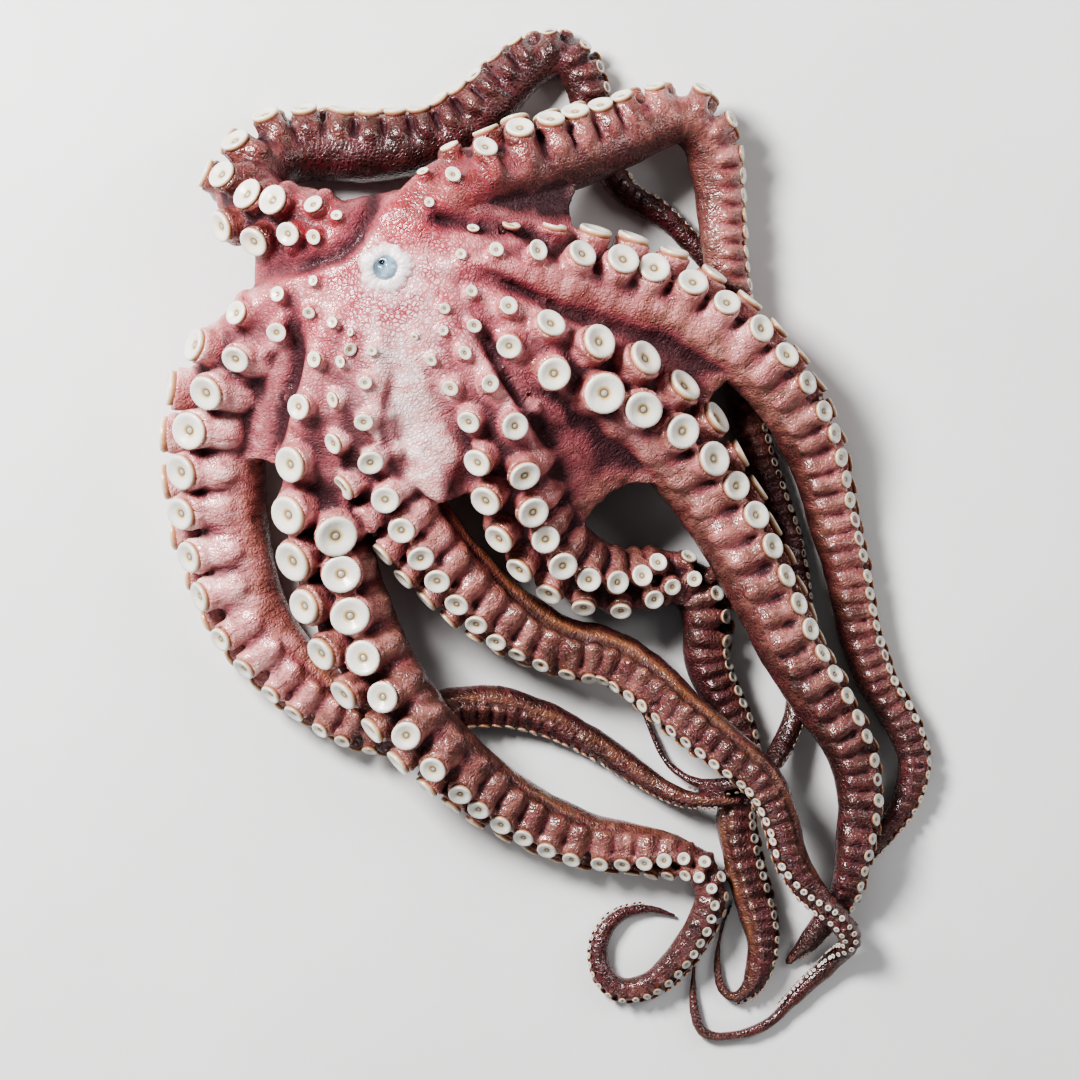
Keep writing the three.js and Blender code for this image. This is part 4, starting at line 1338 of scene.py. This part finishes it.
def normals_out(cup):
    """Turns the faces so that the cup's face looks up."""
    up = sum(face.normal.z * face.area for face in cup.data.polygons if face.center.z > CUP_FACE)
    if up < 0:
        cup.data.flip_normals()


def lifted(centre, facing, radius, skin):
    """Moves a cup's centre out, if need be, so that the flesh under it doesn't cover it."""
    hit, place, _, _ = skin.ray_cast(centre + facing * LOOK_FROM, -facing)
    if not hit:
        return centre
    above = (place - centre).dot(facing) + SEATED * radius
    return centre + facing * max(0.0, above)


def buried(centre, facing, along, radius, skin):
    """Whether flesh covers a good part of a cup."""
    x = along.cross(facing).normalized()
    y = facing.cross(x)
    covered = 0
    for k in range(8):
        turn = math.tau * k / 8
        place = centre + (x * math.cos(turn) + y * math.sin(turn)) * 0.7 * radius + facing * 0.2 * radius
        hit, _, normal, _ = skin.ray_cast(place, facing)
        covered += hit and normal.dot(facing) > 0
    return covered > COVERED_SIDES


def cup_set(name, profile, sides, places, suckers, skin):
    """A cup at each place, a little uneven in size; its tint says how far out on the arm it stands."""
    model = cup_model(profile, sides)
    made = []
    for arm, i, side, radius in places:
        centre, facing, along, rng = sucker_frame(arm, i, side, radius, suckers)
        if arm.s[i] < LIFT_WITHIN:
            centre = lifted(centre, facing, radius, skin)
        elif buried(centre, facing, along, radius, skin):
            continue
        snug = radius * (1 - 0.08 * min(1.0, arm.s[i] / 200))
        size = (snug * rng.uniform(0.92, 1.05), snug * rng.uniform(0.9, 1.03), radius)
        (copy,) = copies(model, [turned(centre, facing, along, size)])
        outer = 0.25 * rng.random() + 0.75 * min(1.0, arm.s[i] / 420)
        attribute(copy, "tint", [outer**1.4] * len(copy.data.vertices))
        made.append(copy)
    bpy.data.objects.remove(model)
    cups = join(made, name)
    keep_off_floor(cups)
    return cups


class OCTOPUS_OT_suckers(bpy.types.Operator):
    """Stand a cup on every stalk: large ones near the body, beads towards the arms' tips"""

    bl_idname = "octopus.suckers"
    bl_label = "Sucker cups"

    def execute(self, context):
        suckers = context.scene.octopus_suckers
        places = sucker_places(all_arms(), suckers)
        material = sucker_material(context.scene.octopus_colours)
        for name, profile, sides, low, high in CUP_SETS:
            chosen = [place for place in places if low <= place[3] < high]
            if not chosen:
                raise RuntimeError("no suckers for " + name)
            cups = cup_set(name, profile, sides, chosen, suckers, bpy.data.objects["skin"])
            finish_piece(cups, name, "octopus", material)
        return {"FINISHED"}


# ---- Mouth --------------------------------------------------------------------------------------
class OCTOPUS_OT_lips(bpy.types.Operator):
    """Model the puckered white lips around the beak"""

    bl_idname = "octopus.lips"
    bl_label = "Lips"

    def execute(self, context):
        deselect()
        bpy.ops.mesh.primitive_torus_add(
            major_segments=120, minor_segments=20, major_radius=LIP_RING * MM, minor_radius=LIP_FLESH * MM,
            location=(MOUTH.x, MOUTH.y, LIP_HEIGHT),
        )
        lips = bpy.context.object
        bake_place(lips)
        folds, skirts = [], []
        for vertex in lips.data.vertices:
            offset = vertex.co - Vector((MOUTH.x, MOUTH.y, LIP_HEIGHT))
            angle = math.atan2(offset.y, offset.x)
            # Pleats, uneven round the ring, fold its inside; its outside is drawn out into a lobed skirt.
            pleat = math.sin(19 * angle + 1.9 * math.sin(3 * angle) + 0.8 * math.sin(7 * angle)) * 0.5 + 0.5
            out = math.hypot(offset.x, offset.y) / MM - LIP_RING
            inner, outer = max(0.0, -out / LIP_RING), max(0.0, out / LIP_FLESH)
            fold = (1 - pleat) ** 2
            waver = math.sin(13 * angle + 2 * math.sin(3 * angle))
            bumps = 0.5 + 0.25 * math.sin(5 * angle + 1.1) + 0.25 * waver
            wide = 1 + 0.05 * math.sin(2 * angle + 0.6) + 0.03 * math.sin(5 * angle)
            wide += 0.08 * fold * inner + outer * (0.10 + 0.24 * bumps)
            vertex.co.x = MOUTH.x + offset.x * wide
            vertex.co.y = MOUTH.y + offset.y * wide
            rise = offset.z * (0.62 + 0.12 * math.sin(3 * angle)) - 0.12 * MM * fold
            vertex.co.z = LIP_HEIGHT + rise - 0.9 * MM * outer**1.5 + 0.5 * MM * math.sin(2 * angle + 2.4)
            # How much painted shade each pleat gets.
            folds.append(fold * (0.3 + inner))
            skirts.append(outer)
        attribute(lips, "crease", folds)
        attribute(lips, "skirt", skirts)
        finish_piece(lips, "lips", "octopus", lip_material())
        return {"FINISHED"}


class OCTOPUS_OT_beak(bpy.types.Operator):
    """Model the beak: a domed blue-grey horn with a dark parting"""

    bl_idname = "octopus.beak"
    bl_label = "Beak"

    def execute(self, context):
        half, middle = (BEAK_HIGH - BEAK_LOW) / 2, (BEAK_HIGH + BEAK_LOW) / 2
        slit, shade = [], []

        def shape(x, y, z):
            # A dark spot and a parting through it are sunk into the upper half.
            spot = math.exp(-(((x + 0.26) / 0.24) ** 2 + ((y - 0.40) / 0.20) ** 2))
            apart = x * 0.80 + y * 0.60
            parting = 0.7 * math.exp(-((apart / 0.07) ** 2) - ((y - 0.30) / 0.36) ** 2)
            dark = max(spot, parting) if z > 0 else 0
            slit.append(dark)
            # Painted light and shade across the dome: shade towards -X and +Y, a highlight towards +X and -Y.
            shade.append(0.5 - 0.42 * x + 0.22 * y)
            bulge = 1.0 - 0.28 * dark - 0.05 * max(0.0, z) ** 4
            return x * half.x + middle.x, y * half.y + middle.y, z * half.z * bulge + middle.z

        beak = ball(56, 32, shape)
        attribute(beak, "slit", slit)
        attribute(beak, "shade", shade)
        finish_piece(beak, "horn_beak", "beak", horn_material(context.scene.octopus_colours))
        return {"FINISHED"}


# ---- Stage --------------------------------------------------------------------------------------
def add_softbox(name, place, size, power):
    """A soft light that faces the middle of the floor."""
    light = bpy.data.lights.new(name, "AREA")
    light.shape = "RECTANGLE"
    light.size, light.size_y = size
    light.energy = power
    box = add_object(name, light)
    box.location = place
    box.rotation_euler = (-Vector(place)).to_track_quat("-Z", "Y").to_euler()


class OCTOPUS_OT_stage(bpy.types.Operator):
    """Lay a pale floor, hang soft studio lights and set the camera straight above"""

    bl_idname = "octopus.stage"
    bl_label = "Floor, lights and camera"

    def execute(self, context):
        deselect()
        bpy.ops.mesh.primitive_plane_add(size=FLOOR_SIZE, location=(0, 0, CAD_BOX[0].z - FLOOR_GAP))
        floor = bpy.context.object
        bake_place(floor)
        floor.name = "floor"
        floor.data.materials.append(floor_material())
        for softbox in SOFTBOXES:
            add_softbox(*softbox)
        world = bpy.data.worlds.new("room")
        world.use_nodes = True
        background = world.node_tree.nodes["Background"]
        background.inputs["Color"].default_value = ROOM_COLOUR
        background.inputs["Strength"].default_value = ROOM_STRENGTH
        context.scene.world = world
        context.scene.view_settings.look = "AgX - High Contrast"
        camera_data = bpy.data.cameras.new("camera")
        camera_data.sensor_width = SENSOR
        camera_data.lens = SENSOR * CAMERA_DISTANCE / VIEW_WIDTH
        camera = add_object("camera", camera_data)
        camera.location = MOUTH + Vector((*CAMERA_OFFSET, CAMERA_AIM_HEIGHT + CAMERA_DISTANCE))
        context.scene.camera = camera
        return {"FINISHED"}


# ---- Panel and registration ---------------------------------------------------------------------
class OCTOPUS_PT_panel(bpy.types.Panel):
    """The octopus's sizes, colours and build steps"""

    bl_idname = "OCTOPUS_PT_panel"
    bl_label = "Whole octopus"
    bl_space_type = "VIEW_3D"
    bl_region_type = "UI"
    bl_category = "Octopus"

    def draw(self, context):
        for group in GROUPS:
            values = getattr(context.scene, group)
            box = self.layout.box()
            for key in values.__annotations__:
                box.prop(values, key)
        for operator in STEPS:
            self.layout.operator(operator.bl_idname)


STEPS = (OCTOPUS_OT_skin, OCTOPUS_OT_suckers, OCTOPUS_OT_lips, OCTOPUS_OT_beak, OCTOPUS_OT_stage)
GROUPS = {
    "octopus_body": OctopusBody,
    "octopus_suckers": OctopusSuckers,
    "octopus_colours": OctopusColours,
}


def register():
    for kind in (*GROUPS.values(), *STEPS, OCTOPUS_PT_panel):
        bpy.utils.register_class(kind)
    for name, group in GROUPS.items():
        setattr(bpy.types.Scene, name, PointerProperty(type=group))


def unregister():
    for name in GROUPS:
        delattr(bpy.types.Scene, name)
    for kind in (OCTOPUS_PT_panel, *reversed(STEPS), *GROUPS.values()):
        bpy.utils.unregister_class(kind)


def main():
    register()
    bpy.ops.octopus.skin()
    bpy.ops.octopus.suckers()
    bpy.ops.octopus.lips()
    bpy.ops.octopus.beak()
    bpy.ops.octopus.stage()


if __name__ == "__main__":
    main()
